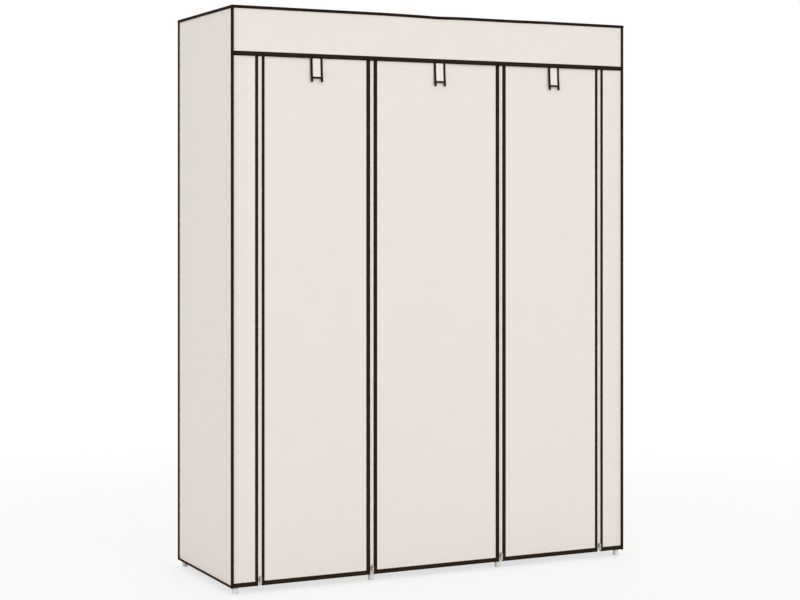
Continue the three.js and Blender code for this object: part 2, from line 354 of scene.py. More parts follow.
def pipe(axis: Axis, ends: Span, radius: float, wall: float, at: Point) -> Surface:
    """A round tube along an axis, open at both ends, with its rims rounded by a third of its wall.

    Args:
        axis: which way it lies.
        ends: where it starts and ends along the axis.
        radius: the outer radius.
        wall: the wall's thickness.
        at: where the axis's zero stands.

    Returns:
        The tube.
    """
    low, high = ends
    inner, rim = radius - wall, wall / 3
    radii = [radius, radius, radius - rim, inner + rim, inner, inner, inner + rim, radius - rim]
    heights = [low + rim, high - rim, high, high, high - rim, low + rim, low, low]
    return revolved(radii, heights, ring=True).laid_along(axis).moved(*at)


def rod(axis: Axis, ends: Sequence[float], radius: float, at: Point = (0, 0, 0), rim: float = 0.0) -> Surface:
    """A solid round bar along an axis, its two rims rounded by a quarter circle.

    Args:
        axis: which way it lies.
        ends: its two ends along the axis, in any order.
        radius: its radius.
        at: where the axis's zero stands.
        rim: the radius of the rounding, or 0 for sharp rims.

    Returns:
        The bar.
    """
    low, high = sorted(ends)
    angle = np.linspace(0, math.pi / 2, 4 if rim else 1)
    radii = radius - rim + rim * np.sin(angle) if rim else np.array([radius])
    rise = rim * (1 - np.cos(angle))
    profile = np.concatenate([radii, radii[::-1]])
    heights = np.concatenate([low + rise, (high - rise)[::-1]])
    return revolved(profile, heights).laid_along(axis).moved(*at)


def plate(outline: Array, low: float, high: float, rim: float) -> Surface:
    """A flat plate in x and z between two values of y, with its edges chamfered.

    Args:
        outline: its outline in x and z, (points, 2).
        low: the y of one face.
        high: the y of the other.
        rim: the size of the chamfer.

    Returns:
        The plate.
    """
    middle = outline.mean(0)
    reach = np.abs(outline - middle).max()
    layers = [(low, 1 - rim / reach), (low + rim, 1), (high - rim, 1), (high, 1 - rim / reach)]
    rings = np.stack([np.insert(middle + (outline - middle) * share, 1, y, axis=1) for y, share in layers])
    return skin(rings, np.arange(4.0), np.arange(len(outline) + 1.0))


def block(x: float, half: float, ys: Span, zs: Span) -> Surface:
    """A plain box, used only to join to another solid.

    Args:
        x: the middle of its width.
        half: half its width.
        ys: where it starts and ends in y.
        zs: where it starts and ends in z.

    Returns:
        The box.
    """
    low, high = zs
    outline = np.array([[x - half, low], [x + half, low], [x + half, high], [x - half, high]])
    rings = np.stack([np.insert(outline, 1, y, axis=1) for y in ys])
    return skin(rings, np.arange(2.0), np.arange(5.0))


def stamped(template: Surface, places: Array, right: Array, out: Array, up: Array) -> Surface:
    """Copies of one small surface, each at its own place and turned to its own three directions.

    Args:
        template: the surface, in x, y and z.
        places: where the copies go, (copies, 3).
        right: the direction of each copy's x.
        out: the direction of each copy's y.
        up: the direction of each copy's z.

    Returns:
        The copies.
    """
    count, size = len(places), len(template.points)
    axes = np.stack([np.broadcast_to(a, places.shape) for a in (right, out, up)], 1)
    points = places[:, None] + np.einsum("pk,ckd->cpd", template.points, axes)
    starts = size * np.arange(count)[:, None, None]
    return Surface(
        points.reshape(-1, 3),
        (template.quads + starts).reshape(-1, 4),
        np.tile(template.uv, (count, 1, 1)),
        (template.tris + starts).reshape(-1, 3),
    )


def bead(stations: Sequence[Point], sides: int) -> Surface:
    """A short lump along x.

    Args:
        stations: ellipses in y and z, each by its x and its two half sizes.
        sides: how many sides each has.

    Returns:
        The lump.
    """
    angle = around(sides, 0.5)
    rings = np.stack([
        xyz(x, wide * np.cos(angle), tall * np.sin(angle)) for x, wide, tall in stations
    ])
    return skin(rings, np.arange(float(len(stations))), np.arange(sides + 1.0))


# Blender objects

def mesh_of(name: str, parts: Sequence[tuple[Surface, bpy.types.Material | None]]) -> bpy.types.Mesh:
    """A mesh of surfaces, each with its own material.

    Args:
        name: the mesh's name.
        parts: the surfaces and their materials.

    Returns:
        The mesh, smooth but for edges sharper than the crease angle.
    """
    crease = math.radians(38)
    whole = joined(surface for surface, _ in parts)
    mesh = bpy.data.meshes.new(name)
    mesh.vertices.add(len(whole.points))
    mesh.vertices.foreach_set("co", whole.points.astype(np.float32).ravel())
    corners = np.concatenate([whole.quads.ravel(), whole.tris.ravel()])
    totals = np.repeat([4, 3], [len(whole.quads), len(whole.tris)])
    mesh.loops.add(len(corners))
    mesh.loops.foreach_set("vertex_index", corners.astype(np.int32))
    mesh.polygons.add(len(totals))
    starts = np.concatenate([[0], np.cumsum(totals)[:-1]])
    mesh.polygons.foreach_set("loop_start", starts.astype(np.int32))
    counts = [(len(surface.quads), len(surface.tris)) for surface, _ in parts]
    kinds = np.concatenate([np.repeat(range(len(parts)), column) for column in zip(*counts)])
    texture = mesh.uv_layers.new(name="Cut")
    places = np.concatenate([whole.uv.reshape(-1, 2), np.zeros((whole.tris.size, 2))])
    texture.data.foreach_set("uv", places.astype(np.float32).ravel())
    mesh.update(calc_edges=True)
    for _, material in parts:
        mesh.materials.append(material)
    mesh.polygons.foreach_set("material_index", kinds.astype(np.int32))
    mesh.validate()
    mesh.shade_smooth()
    mesh.set_sharp_from_angle(angle=crease)
    return mesh


def fused(adds: Sequence[Surface], cuts: Sequence[Surface] = ()) -> Surface:
    """Solids joined into one and cut by others, by Blender's manifold solver.

    Args:
        adds: the solids to join.
        cuts: the solids to take away from them.

    Returns:
        One surface, in triangles.
    """
    scene = bpy.context.scene.collection
    things = [bpy.data.objects.new("solid", mesh_of("solid", [(s, None)])) for s in (*adds, *cuts)]
    for thing in things:
        scene.objects.link(thing)
    whole = things[0]
    for i, other in enumerate(things[1:], 1):
        step = whole.modifiers.new("join", "BOOLEAN")
        step.operation = "UNION" if i < len(adds) else "DIFFERENCE"
        step.solver = "MANIFOLD"
        step.object = other
    bpy.context.view_layer.update()
    made = whole.evaluated_get(bpy.context.evaluated_depsgraph_get()).to_mesh()
    made.calc_loop_triangles()
    points, tris = np.zeros(3 * len(made.vertices)), np.zeros(3 * len(made.loop_triangles), np.int32)
    made.vertices.foreach_get("co", points)
    made.loop_triangles.foreach_get("vertices", tris)
    for thing in things:
        mesh = thing.data
        bpy.data.objects.remove(thing)
        bpy.data.meshes.remove(mesh)
    no_quads, no_uv = np.zeros((0, 4), int), np.zeros((0, 4, 2))
    return Surface(points.reshape(-1, 3), no_quads, no_uv, tris.reshape(-1, 3).astype(int)).outward()


@dataclass(frozen=True)
class Dress:
    """What a piece is made of: its finish, and the name of its slot."""

    material: bpy.types.Material
    slot: str


Parts = list[tuple[Surface, Dress]]


def piece(name: str, parts: Parts, *stands_for: str) -> bpy.types.Object:
    """A finished object at the origin.

    Args:
        name: the piece's name.
        parts: its surfaces and what each is made of.
        stands_for: the CAD nodes that it replaces.

    Returns:
        The object, which rides on nothing yet.
    """
    mesh = mesh_of(name, [(surface, dress.material) for surface, dress in parts])
    made = bpy.data.objects.new(name, mesh)
    bpy.context.scene.collection.objects.link(made)
    if stands_for:
        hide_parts(*stands_for)
    log.info("%s: %d faces, for %s", name, len(mesh.polygons), ", ".join(stands_for) or "no node")
    return made


def fixed(name: str, parts: Parts, *stands_for: str) -> bpy.types.Object:
    """A finished object that stays with the wardrobe's fixed body."""
    made = piece(name, parts, *stands_for)
    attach(made, FIXED)
    return made


# Shader groups and finishes

Socket = bpy.types.NodeSocket
Feed = Socket | float | tuple


class Graph:
    """Adds nodes to one shader tree and links them."""

    def __init__(self, tree: bpy.types.NodeTree) -> None:
        """Start on a tree."""
        self.tree = tree

    def add(self, kind: str, **settings: object) -> bpy.types.Node:
        """A new node with its settings."""
        node = self.tree.nodes.new(kind)
        for name, value in settings.items():
            setattr(node, name, value)
        return node

    def feed(self, socket: Socket, value: Feed) -> None:
        """Link a socket to another one, or set its value."""
        if isinstance(value, Socket):
            self.tree.links.new(value, socket)
        else:
            socket.default_value = value

    def named(self, node: bpy.types.Node, **values: Feed) -> bpy.types.Node:
        """Feed a node's inputs by name, and hand the node back."""
        for name, value in values.items():
            self.feed(node.inputs[name], value)
        return node

    def fill(self, node: bpy.types.Node, values: Iterable[Feed]) -> bpy.types.Node:
        """Feed a node's inputs in order, and hand the node back."""
        for socket, value in zip(node.inputs, values):
            self.feed(socket, value)
        return node

    def math(self, operation: str, *values: Feed) -> Socket:
        """The outcome of one arithmetic step."""
        return self.fill(self.add("ShaderNodeMath", operation=operation), values).outputs[0]

    def weighted(self, *parts: tuple[Socket, float]) -> Socket:
        """The sum of some values, each times its weight."""
        total, *others = [
            value if weight == 1 else self.math("MULTIPLY", value, weight) for value, weight in parts
        ]
        for other in others:
            total = self.math("ADD", total, other)
        return total

    def noise(self, vector: Socket, scale: Feed, detail: float) -> Socket:
        """Cloudy noise from 0 to 1, with one scale for all or a tuple with one for each of x, y and z."""
        if isinstance(scale, tuple):
            stretched = self.add("ShaderNodeVectorMath", operation="MULTIPLY")
            vector, scale = self.fill(stretched, (vector, scale)).outputs[0], 1.0
        node = self.named(self.add("ShaderNodeTexNoise"), Vector=vector, Scale=scale, Detail=detail)
        return node.outputs["Fac"]

    def wave(self, value: Socket, length: Feed) -> Socket:
        """A sine from -1 to 1, with one turn for each length."""
        return self.math("SINE", self.math("MULTIPLY", self.math("DIVIDE", value, length), TURN))

    def cut(self) -> Socket:
        """The piece's own cut, as texture places."""
        return self.add("ShaderNodeUVMap", uv_map="Cut").outputs[0]

    def parts(self, vector: Socket) -> Sequence[Socket]:
        """The x, y and z of a vector."""
        return self.fill(self.add("ShaderNodeSeparateXYZ"), (vector,)).outputs

    def between(self, low: Socket | Colour, high: Socket | Colour, mask: Socket) -> Socket:
        """A colour between two.

        Args:
            low: the colour where the mask is 0.
            high: the colour where it is 1.
            mask: the mask.

        Returns:
            The colour.
        """
        node = self.add("ShaderNodeMix", data_type="RGBA")
        self.feed(node.inputs["Factor"], mask)
        for socket, colour in zip((node.inputs[6], node.inputs[7]), (low, high)):
            self.feed(socket, colour if isinstance(colour, Socket) else linear(colour))
        return node.outputs[2]

    def group(self, tree: bpy.types.NodeTree, **values: Feed) -> Sequence[Socket]:
        """A shared group placed in this tree with its inputs set by name, as its outputs."""
        return self.named(self.add("ShaderNodeGroup", node_tree=tree), **values).outputs


class GroupGraph(Graph):
    """The graph of a new shader group."""

    def __init__(self, name: str, inputs: dict[str, float | None], outputs: Sequence[str]) -> None:
        """Start a group.

        Args:
            name: the group's name.
            inputs: its inputs, with each one's value, or None for a vector.
            outputs: its outputs, all plain numbers.
        """
        super().__init__(bpy.data.node_groups.new(name, "ShaderNodeTree"))
        for label, value in inputs.items():
            kind = "NodeSocketVector" if value is None else "NodeSocketFloat"
            socket = self.tree.interface.new_socket(label, in_out="INPUT", socket_type=kind)
            if value is not None:
                socket.default_value = value
        for label in outputs:
            self.tree.interface.new_socket(label, in_out="OUTPUT", socket_type="NodeSocketFloat")
        self.given = self.add("NodeGroupInput").outputs
        self.out = self.add("NodeGroupOutput")

    def finished(self, **values: Socket) -> bpy.types.NodeTree:
        """Feed the outputs by name, and hand over the group."""
        self.named(self.out, **values)
        return self.tree


def fibre_group() -> bpy.types.NodeTree:
    """Non-woven cloth: fibres both ways, pressed together at staggered dots, and clouds of thicker felt."""
    lying_scales, standing_scales = (260.0, 2100.0, 1.0), (1900.0, 240.0, 1.0)
    cloud_scale, felt_scale = 11.0, 90.0
    dot_power = 1.5
    graph = GroupGraph("non_woven", {"Vector": None, "Pitch": 2.2 * MM}, ["Mask", "Height"])
    place, pitch = graph.given["Vector"], graph.given["Pitch"]
    x, y, _ = graph.parts(place)
    product = graph.math("MULTIPLY", graph.wave(x, pitch), graph.wave(y, pitch))
    dot = graph.math("POWER", graph.math("MAXIMUM", product, 0.0), dot_power)
    lying, standing = graph.noise(place, lying_scales, 3.0), graph.noise(place, standing_scales, 3.0)
    fibres = graph.math("MAXIMUM", lying, standing)
    cloud, felt = graph.noise(place, cloud_scale, 4.0), graph.noise(place, felt_scale, 3.0)
    return graph.finished(
        Mask=graph.weighted((cloud, 0.55), (felt, 0.3), (fibres, 0.15)),
        Height=graph.weighted((fibres, 0.6), (felt, 0.5), (dot, -0.7)),
    )


def rib_group() -> bpy.types.NodeTree:
    """Woven tape: ribs across it, a finer thread along it and an uneven pull."""
    pull_scales, slow_scale = (420.0, 60.0, 1.0), 24.0
    graph = GroupGraph("ribbed_tape", {"Vector": None, "Rib": 0.9 * MM, "Slant": 0.0}, ["Mask", "Height"])
    place = graph.given["Vector"]
    x, y, _ = graph.parts(place)
    slanted = graph.math("ADD", x, graph.math("MULTIPLY", y, graph.given["Slant"]))
    rib = graph.math("ABSOLUTE", graph.wave(slanted, graph.math("MULTIPLY", graph.given["Rib"], 2.0)))
    pull, slow = graph.noise(place, pull_scales, 3.0), graph.noise(place, slow_scale, 2.0)
    return graph.finished(
        # The ribs' share makes the crests lighter and the grooves darker, which is painted shade; the pull
        # and slow noise are random tone.
        Mask=graph.weighted((rib, 0.35), (pull, 0.4), (slow, 0.25)),
        Height=graph.weighted((rib, 1.0), (pull, 0.8)),
    )


def edge_group() -> bpy.types.NodeTree:
    """How near a place across a band is to the band's edges: 0 along its middle and 1 at its edges; the tapes
    use it to paint shade along their edges.
    """
    graph = GroupGraph("band_edges", {"Across": 0.5, "Power": 3.0}, ["Mask"])
    doubled = graph.math("MULTIPLY", graph.given["Across"], 2.0)
    off = graph.math("ABSOLUTE", graph.math("SUBTRACT", doubled, 1.0))
    return graph.finished(Mask=graph.math("MINIMUM", graph.math("POWER", off, graph.given["Power"]), 1.0))


def handling_group() -> bpy.types.NodeTree:
    """Marks of use on hard pieces: fine scratches, dull clouds and a grain."""
    scratch_scales, cloud_scale = (2200.0, 90.0, 420.0), 30.0
    scratch_from, scratch_rise = 0.64, 5.0
    graph = GroupGraph("handling", {"Vector": None, "Grain": 900.0}, ["Marks", "Cloud", "Height"])
    place = graph.given["Vector"]
    over = graph.math("SUBTRACT", graph.noise(place, scratch_scales, 2.0), scratch_from)
    sharp = graph.math("MAXIMUM", graph.math("MULTIPLY", over, scratch_rise), 0.0)
    return graph.finished(
        Marks=graph.math("MINIMUM", sharp, 1.0),
        Cloud=graph.noise(place, cloud_scale, 4.0),
        Height=graph.noise(place, graph.given["Grain"], 2.0),
    )


@dataclass(frozen=True)
class Groups:
    """The shader groups that the finishes share."""

    fibre: bpy.types.NodeTree = field(default_factory=fibre_group)
    rib: bpy.types.NodeTree = field(default_factory=rib_group)
    edge: bpy.types.NodeTree = field(default_factory=edge_group)
    handling: bpy.types.NodeTree = field(default_factory=handling_group)


class MaterialGraph(Graph):
    """The graph of a new material, with its Principled shader."""

    def __init__(self, name: str, **constants: float | tuple) -> None:
        """Start a material whose shader has some values that are the same all over.

        Args:
            name: the material's name.
            constants: the values by the shader's own socket names, with _ for a space.
        """
        self.material = bpy.data.materials.new(name)
        self.material.use_nodes = True
        super().__init__(self.material.node_tree)
        self.shader = self.tree.nodes["Principled BSDF"]
        for label, value in constants.items():
            self.shader.inputs[label.replace("_", " ")].default_value = value

    def coat(self, colour: Socket, height: Socket, depth: float, strength: float) -> None:
        """Give the shader its colour and small relief.

        Args:
            colour: the colour.
            height: the relief's height, about 0 to 1.
            depth: how deep a height of 1 is.
            strength: how much of it shows.
        """
        bump = self.named(self.add("ShaderNodeBump"), Height=height, Distance=depth, Strength=strength)
        self.feed(self.shader.inputs["Base Color"], colour)
        self.feed(self.shader.inputs["Normal"], bump.outputs["Normal"])


@dataclass(frozen=True)
class ClothFinish:
    """Matt non-woven cloth, whose felt is a little darker where it is thin."""

    name: str
    slot: str
    full: Colour
    thin: Colour
    pitch: float = 2.2 * MM
    depth: float = 0.12 * MM
    strength: float = 0.35

    def dress(self, groups: Groups) -> Dress:
        """The cloth's material, on the piece's own cut, with its slot."""
        sheen = {"Sheen_Weight": 0.08, "Sheen_Roughness": 0.6}
        graph = MaterialGraph(self.name, Roughness=0.92, Specular_IOR_Level=0.2, **sheen)
        felt = graph.group(groups.fibre, Vector=graph.cut(), Pitch=self.pitch)
        colour = graph.between(self.thin, self.full, felt["Mask"])
        graph.coat(colour, felt["Height"], self.depth, self.strength)
        return Dress(graph.material, self.slot)


@dataclass(frozen=True)
class TapeFinish:
    """Ribbed tape or cord cover, with painted shade: grooves darker between the ribs, mixed with random tone,
    and edges in the grooves' colour or a darker one along the tape's rounded edges and fold.
    """

    name: str
    slot: str
    crest: Colour
    groove: Colour
    edge: Colour | None = None
    rib: float = 0.9 * MM
    slant: float = 0.0
    edge_power: float = 3.0
    shine: float = 0.25
    depth: float = 0.12 * MM
    strength: float = 0.5

    def dress(self, groups: Groups) -> Dress:
        """The tape's material, on a cut that runs along the tape and from 0 to 1 across it, with its slot."""
        graph = MaterialGraph(self.name, Roughness=0.85, Specular_IOR_Level=self.shine)
        cut = graph.cut()
        weave = graph.group(groups.rib, Vector=cut, Rib=self.rib, Slant=self.slant)
        near = graph.group(groups.edge, Across=graph.parts(cut)[1], Power=self.edge_power)
        # Grooves darker than crests: painted shade between the ribs, mixed with random tone.
        body = graph.between(self.groove, self.crest, weave["Mask"])
        # Edges darker than the middle: painted shade along the tape's rounded edges and fold.
        colour = graph.between(body, self.edge or self.groove, near["Mask"])
        graph.coat(colour, weave["Height"], self.depth, self.strength)
        return Dress(graph.material, self.slot)


@dataclass(frozen=True)
class HardFinish:
    """Painted steel, moulded plastic, nylon or bare metal, with marks of use."""

    name: str
    slot: str
    clean: Colour
    worn: Colour
    roughness: float
    metallic: float = 0.0
    coat: float = 0.0
    grain: float = 900.0
    depth: float = 0.02 * MM
    strength: float = 0.4
    cloud_wear: float = 0.5
    cloud_spread: float = 0.16

    def dress(self, groups: Groups) -> Dress:
        """The material, on Object coordinates, so that its marks run on over all pieces, with its slot."""
        graph = MaterialGraph(self.name, Metallic=self.metallic, Coat_Weight=self.coat)
        where = graph.add("ShaderNodeTexCoord").outputs["Object"]
        marks = graph.group(groups.handling, Vector=where, Grain=self.grain)
        clouds = graph.math("MULTIPLY", marks["Cloud"], self.cloud_wear)
        wear = graph.math("MINIMUM", graph.math("ADD", marks["Marks"], clouds), 1.0)
        spread = graph.math("MULTIPLY", marks["Cloud"], self.cloud_spread)
        rough = graph.math("ADD", spread, self.roughness - self.cloud_spread / 2)
        graph.feed(graph.shader.inputs["Roughness"], rough)
        graph.coat(graph.between(self.clean, self.worn, wear), marks["Height"], self.depth, self.strength)
        return Dress(graph.material, self.slot)


@dataclass(frozen=True)
class WardrobeFinishes:
    """Every finish on the wardrobe, with a slot's name for each."""

    cover: Dress
    inside: Dress
    binding: Dress
    piping: Dress
    thread: Dress
    light_thread: Dress
    strap: Dress
    zip_tape: Dress
    zip_coil: Dress
    zip_metal: Dress
    steel: Dress
    plastic: Dress

    @classmethod
    def made(cls) -> "WardrobeFinishes":
        """The finishes, from the colours that each has in plain light, but for painted shade on the tapes'
        grooves and edges and painted light on the zip tape and coil.
        """
        table = dict(
            cover=ClothFinish("cream_cloth", "cover_cloth", (239, 232, 226), (234, 226, 219)),
            inside=ClothFinish("shelf_cloth", "shelf_cloth", (233, 226, 219), (226, 218, 210), 2.6 * MM),
            # The binding's darkest colour, at its edges and fold, is painted shade.
            binding=TapeFinish(
                "brown_binding", "strap_cloth", (53, 36, 23), (37, 24, 14), (16, 9, 4),
                edge_power=1.7, shine=0.1,
            ),
            piping=TapeFinish(
                "brown_piping", "strap_cloth", (48, 32, 22), (35, 22, 14), slant=0.02, shine=0.06
            ),
            thread=TapeFinish(
                "brown_thread", "strap_cloth", (56, 40, 28), (38, 26, 17), rib=0.5 * MM, slant=0.004
            ),
            light_thread=TapeFinish(
                "cream_thread", "shelf_cloth", (222, 214, 205), (204, 195, 185), rib=0.5 * MM
            ),
            strap=TapeFinish(
                "cream_strap", "strap_cloth", (243, 237, 230), (234, 227, 219), (231, 224, 216), rib=1.1 * MM
            ),
            # The zip tape and coil are painted lighter than the cream cloth to offset the shade in the zip's
            # gap: painted light.
            zip_tape=TapeFinish(
                "zip_tape", "cover_cloth", (255, 250, 244), (252, 246, 239), rib=0.7 * MM, slant=0.5
            ),
            zip_coil=HardFinish("zip_coil", "cover_cloth", (253, 247, 240), (247, 240, 233), 0.42, coat=0.1),
            zip_metal=HardFinish("zip_metal", "zip_metal", (196, 192, 186), (178, 174, 168), 0.36, 1.0),
            steel=HardFinish("grey_paint", "frame_steel", (203, 205, 206), (186, 187, 187), 0.38, coat=0.15),
            plastic=HardFinish(
                "pale_plastic", "foot_plastic", (243, 239, 235), (235, 231, 227), 0.46, grain=1500.0
            ),
        )
        groups = Groups()
        return cls(**{part: finish.dress(groups) for part, finish in table.items()})


# Places read from the frame

class Place(Enum):
    """A place on the wardrobe; its value says how the places lie, from low to high."""

    @property
    def word(self) -> str:
        """The place as the names of nodes, bodies and joints say it."""
        return self.name.lower()


class Side(Place):
    """Left, centre and right, with the sign of their x."""

    LEFT = -1
    CENTRE = 0
    RIGHT = 1


class Row(Place):
    """Front and rear, with the sign of their y."""

    FRONT = -1
    REAR = 1


class ZipPlace(Place):
    """The four zips, counted from the viewer's left to right."""

    OUTER_LEFT = 0
    INNER_LEFT = 1
    INNER_RIGHT = 2
    OUTER_RIGHT = 3


@dataclass(frozen=True)
class Box:
    """The corners of a CAD node at rest."""

    low: Vector
    high: Vector

    @classmethod
    def of(cls, node: str) -> "Box":
        """The box round a node."""
        return cls(*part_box(node))

    @property
    def x(self) -> float:
        """The x of its middle."""
        return (self.low.x + self.high.x) / 2

    @property
    def y(self) -> float:
        """The y of its middle."""
        return (self.low.y + self.high.y) / 2

    @property
    def z(self) -> float:
        """The z of its middle."""
        return (self.low.z + self.high.z) / 2


@dataclass(frozen=True)
class Plan:
    """Sizes and places that several sub-assemblies share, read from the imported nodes."""

    half_width: float
    half_depth: float
    top: float
    hem: float
    cloth: float
    sheet_top: float
    header_bottom: float
    stile_edge: float
    zip_xs: tuple[float, ...]
    post_xs: tuple[float, ...]
    post_y: float
    tube: float
    joint: float
    top_level: float
    bottom_level: float
    shelf_levels: tuple[float, ...]

    @classmethod
    def read(cls) -> "Plan":
        """The plan, from the corners of the nodes at rest."""
        roof, side = Box.of("cover_roof"), Box.of("cover_right_side")
        bar, rail = Box.of("top_depth_bar_1"), Box.of("bottom_front_rail_run")
        posts = [Box.of(f"front_post_{i}") for i in (1, 2, 3, 4)]
        return cls(
            half_width=roof.high.x,
            half_depth=roof.high.y,
            top=roof.high.z,
            hem=side.low.z,
            cloth=roof.high.z - roof.low.z,
            sheet_top=side.high.z,
            header_bottom=Box.of("header_flap").low.z,
            stile_edge=Box.of("cover_right_stile").low.x,
            zip_xs=tuple(Box.of(f"zip_slider_{place.word}").x for place in ZipPlace),
            post_xs=tuple(post.x for post in posts),
            post_y=posts[0].y,
            tube=(bar.high.z - bar.low.z) / 2,
            joint=posts[0].y - rail.low.y,
            top_level=bar.z,
            bottom_level=rail.z,
            shelf_levels=tuple(Box.of(f"shelf_frame_{i}").z for i in (1, 2, 3)),
        )

    @property
    def front(self) -> float:
        """The y of the middle of the front cloth."""
        return -self.half_depth + self.cloth / 2

    def between_posts(self, x: Array) -> Array:
        """A hang between the posts, 0 to 1: the square of a sine, half a turn for the left bay's width."""
        first, second = self.post_xs[:2]
        return np.sin(math.pi * (x - first) / (second - first)) ** 2


# Binding, piping and stitches

@dataclass(frozen=True)
class Trim:
    """The sewn edging: tape folded round a cloth's edge, stitched down, and the cord in the cover's seams."""

    binding: Dress
    piping: Dress
    thread: Dress
    light_thread: Dress
    hem_band: float = 12.6 * MM
    ply: float = 0.5 * MM
    fold: float = 0.5 * MM
    lining_gap: float = 0.02 * MM
    lining_fold: float = 0.2
    stitch_share: float = 0.84
    stitch_length: float = 2.5 * MM
    stitch_pitch: float = 3.4 * MM
    stitch_half: float = 0.32 * MM
    stitch_depth: float = 0.86
    stitch_tip: Span = (0.35, 0.3)
    cord_sides: int = 14
    cord_swell: float = 0.02
    cord_wave: float = 11 * MM
    cord_tip: float = 0.8

    def bound(self, outer: Array, inner: Array, cloth: float) -> Parts:
        """Tape folded round the edge of a cloth that faces -Y.

        At each station the section runs from the tape's free edge over the front of the cloth, round the
        fold, back behind it, and then the same way back beside the cloth. A place across the tape is a share
        of the way from the outer to the inner point, so the section follows a mitred corner.

        Args:
            outer: points along the cloth's edge, on the middle of the cloth.
            inner: the points that the tape reaches to, one for each outer point.
            cloth: the cloth's thickness.

        Returns:
            The tape and its stitches.
        """
        facing = np.array([0, -1.0, 0])
        width = np.linalg.norm(inner - outer, axis=1).min()
        flat_shares = np.array([1.0, 0.985, 0.93, 0.86, 0.74, 0.5, 0.26, 0.1])
        lifts = np.array([0.25, 0.75, 0.92, 0.78, 1.0, 1.12, 1.06, 1.0])
        turns = np.linspace(math.pi / 2, -math.pi / 2, 9)
        flat_rises = cloth / 2 + self.ply * lifts
        shares = np.concatenate([flat_shares, -self.fold / width * np.cos(turns), flat_shares[::-1]])
        rises = np.concatenate([flat_rises, (cloth / 2 + self.ply) * np.sin(turns), -flat_rises[::-1]])
        lining = cloth / 2 + self.lining_gap
        shares = np.concatenate([shares, np.maximum(shares, -self.lining_fold * self.fold / width)[::-1]])
        rises = np.concatenate([rises, np.clip(rises, -lining, lining)[::-1]])
        rings = outer[:, None] + (inner - outer)[:, None] * shares[:, None] + facing * rises[:, None]
        across = np.append(np.clip(shares, 0, 1), 1.0)
        tape = skin(rings, lengths_along((outer + inner) / 2), across, Ends.LADDER)
        line = outer + (inner - outer) * self.stitch_share
        height = cloth / 2 + self.stitch_depth * self.ply
        rows = [self.stitches(line + side * facing * height, facing) for side in (1, -1)]
        return [(tape, self.binding), (joined(rows), self.thread)]

    def front_bound(self, outer: Sequence[Point], inner: Sequence[Point], plan: Plan) -> Parts:
        """Tape round an edge of the flat front cloth, whose outer and inner points are given in x and z."""
        sides = (xyz(x, plan.front, z) for x, z in (np.transpose(outer), np.transpose(inner)))
        return self.bound(*sides, plan.cloth)

    def stitches(self, line: Array, out: Array) -> Surface:
        """A row of stitches, each a thin lump that dips into the cloth at both its ends.

        Args:
            line: the points that the row runs along.
            out: the direction away from the cloth.

        Returns:
            The stitches.
        """
        run, legs = lengths_along(line), np.diff(line, axis=0)
        places = np.arange(self.stitch_pitch / 2, run[-1] - self.stitch_length / 2, self.stitch_pitch)
        centres = np.stack([np.interp(places, run, line[:, i]) for i in range(3)], -1)
        directions = legs / np.linalg.norm(legs, axis=1, keepdims=True)
        along = directions[np.clip(np.searchsorted(run, places, side="right") - 1, 0, len(legs) - 1)]
        half, size = self.stitch_length / 2, self.stitch_half
        wide, tall = (size * share for share in self.stitch_tip)
        lump = bead([(-half, wide, tall), (0, size, size), (half, wide, tall)], 4)
        return stamped(lump, centres, along, out, np.cross(along, out))

    def cord(self, path: Array, radius: float, ends: Ends = Ends.FAN) -> Parts:
        """Piping: a round cord along a level or upright path, whose section swells a little between stitches.

        Each ring lies halfway between the two directions that meet at its point, and is stretched across the
        bend by 1 / cos of half the bend, so that a sharp corner comes out mitred.

        Args:
            path: the points that it follows.
            radius: its radius.
            ends: whether it comes back to its first point, or stops in two ends that are drawn in.

        Returns:
            The cord.
        """
        legs = np.roll(path, -1, axis=0) - path
        lengths = np.linalg.norm(legs, axis=1, keepdims=True)
        ahead = legs / lengths
        behind = np.roll(ahead, 1, axis=0)
        run = np.concatenate([[0], np.cumsum(lengths)])
        swell = radius * (1 + self.cord_swell * np.sin(TURN * run[:-1] / self.cord_wave))
        if ends is not Ends.JOINED:
            ahead[-1], behind[0] = ahead[-2], ahead[0]
            swell[[0, -1]] *= self.cord_tip
        tangent = ahead + behind
        tangent /= np.linalg.norm(tangent, axis=1, keepdims=True)
        stretch = 1 / (tangent * ahead).sum(1, keepdims=True)
        is_level = abs(tangent[0, 2]) < 0.5
        side = np.cross(tangent, [0, 0, 1.0] if is_level else [0, 1.0, 0])
        side *= stretch / np.linalg.norm(side, axis=1, keepdims=True)
        upright = np.cross(side / stretch, tangent)
        angle = around(self.cord_sides)[:, None]
        circle = side[:, None] * np.cos(angle) + upright[:, None] * np.sin(angle)
        rings = path[:, None] + circle * swell[:, None, None]
        across = np.arange(self.cord_sides + 1) / self.cord_sides
        return [(skin(rings, run, across, ends), self.piping)]


# Cover

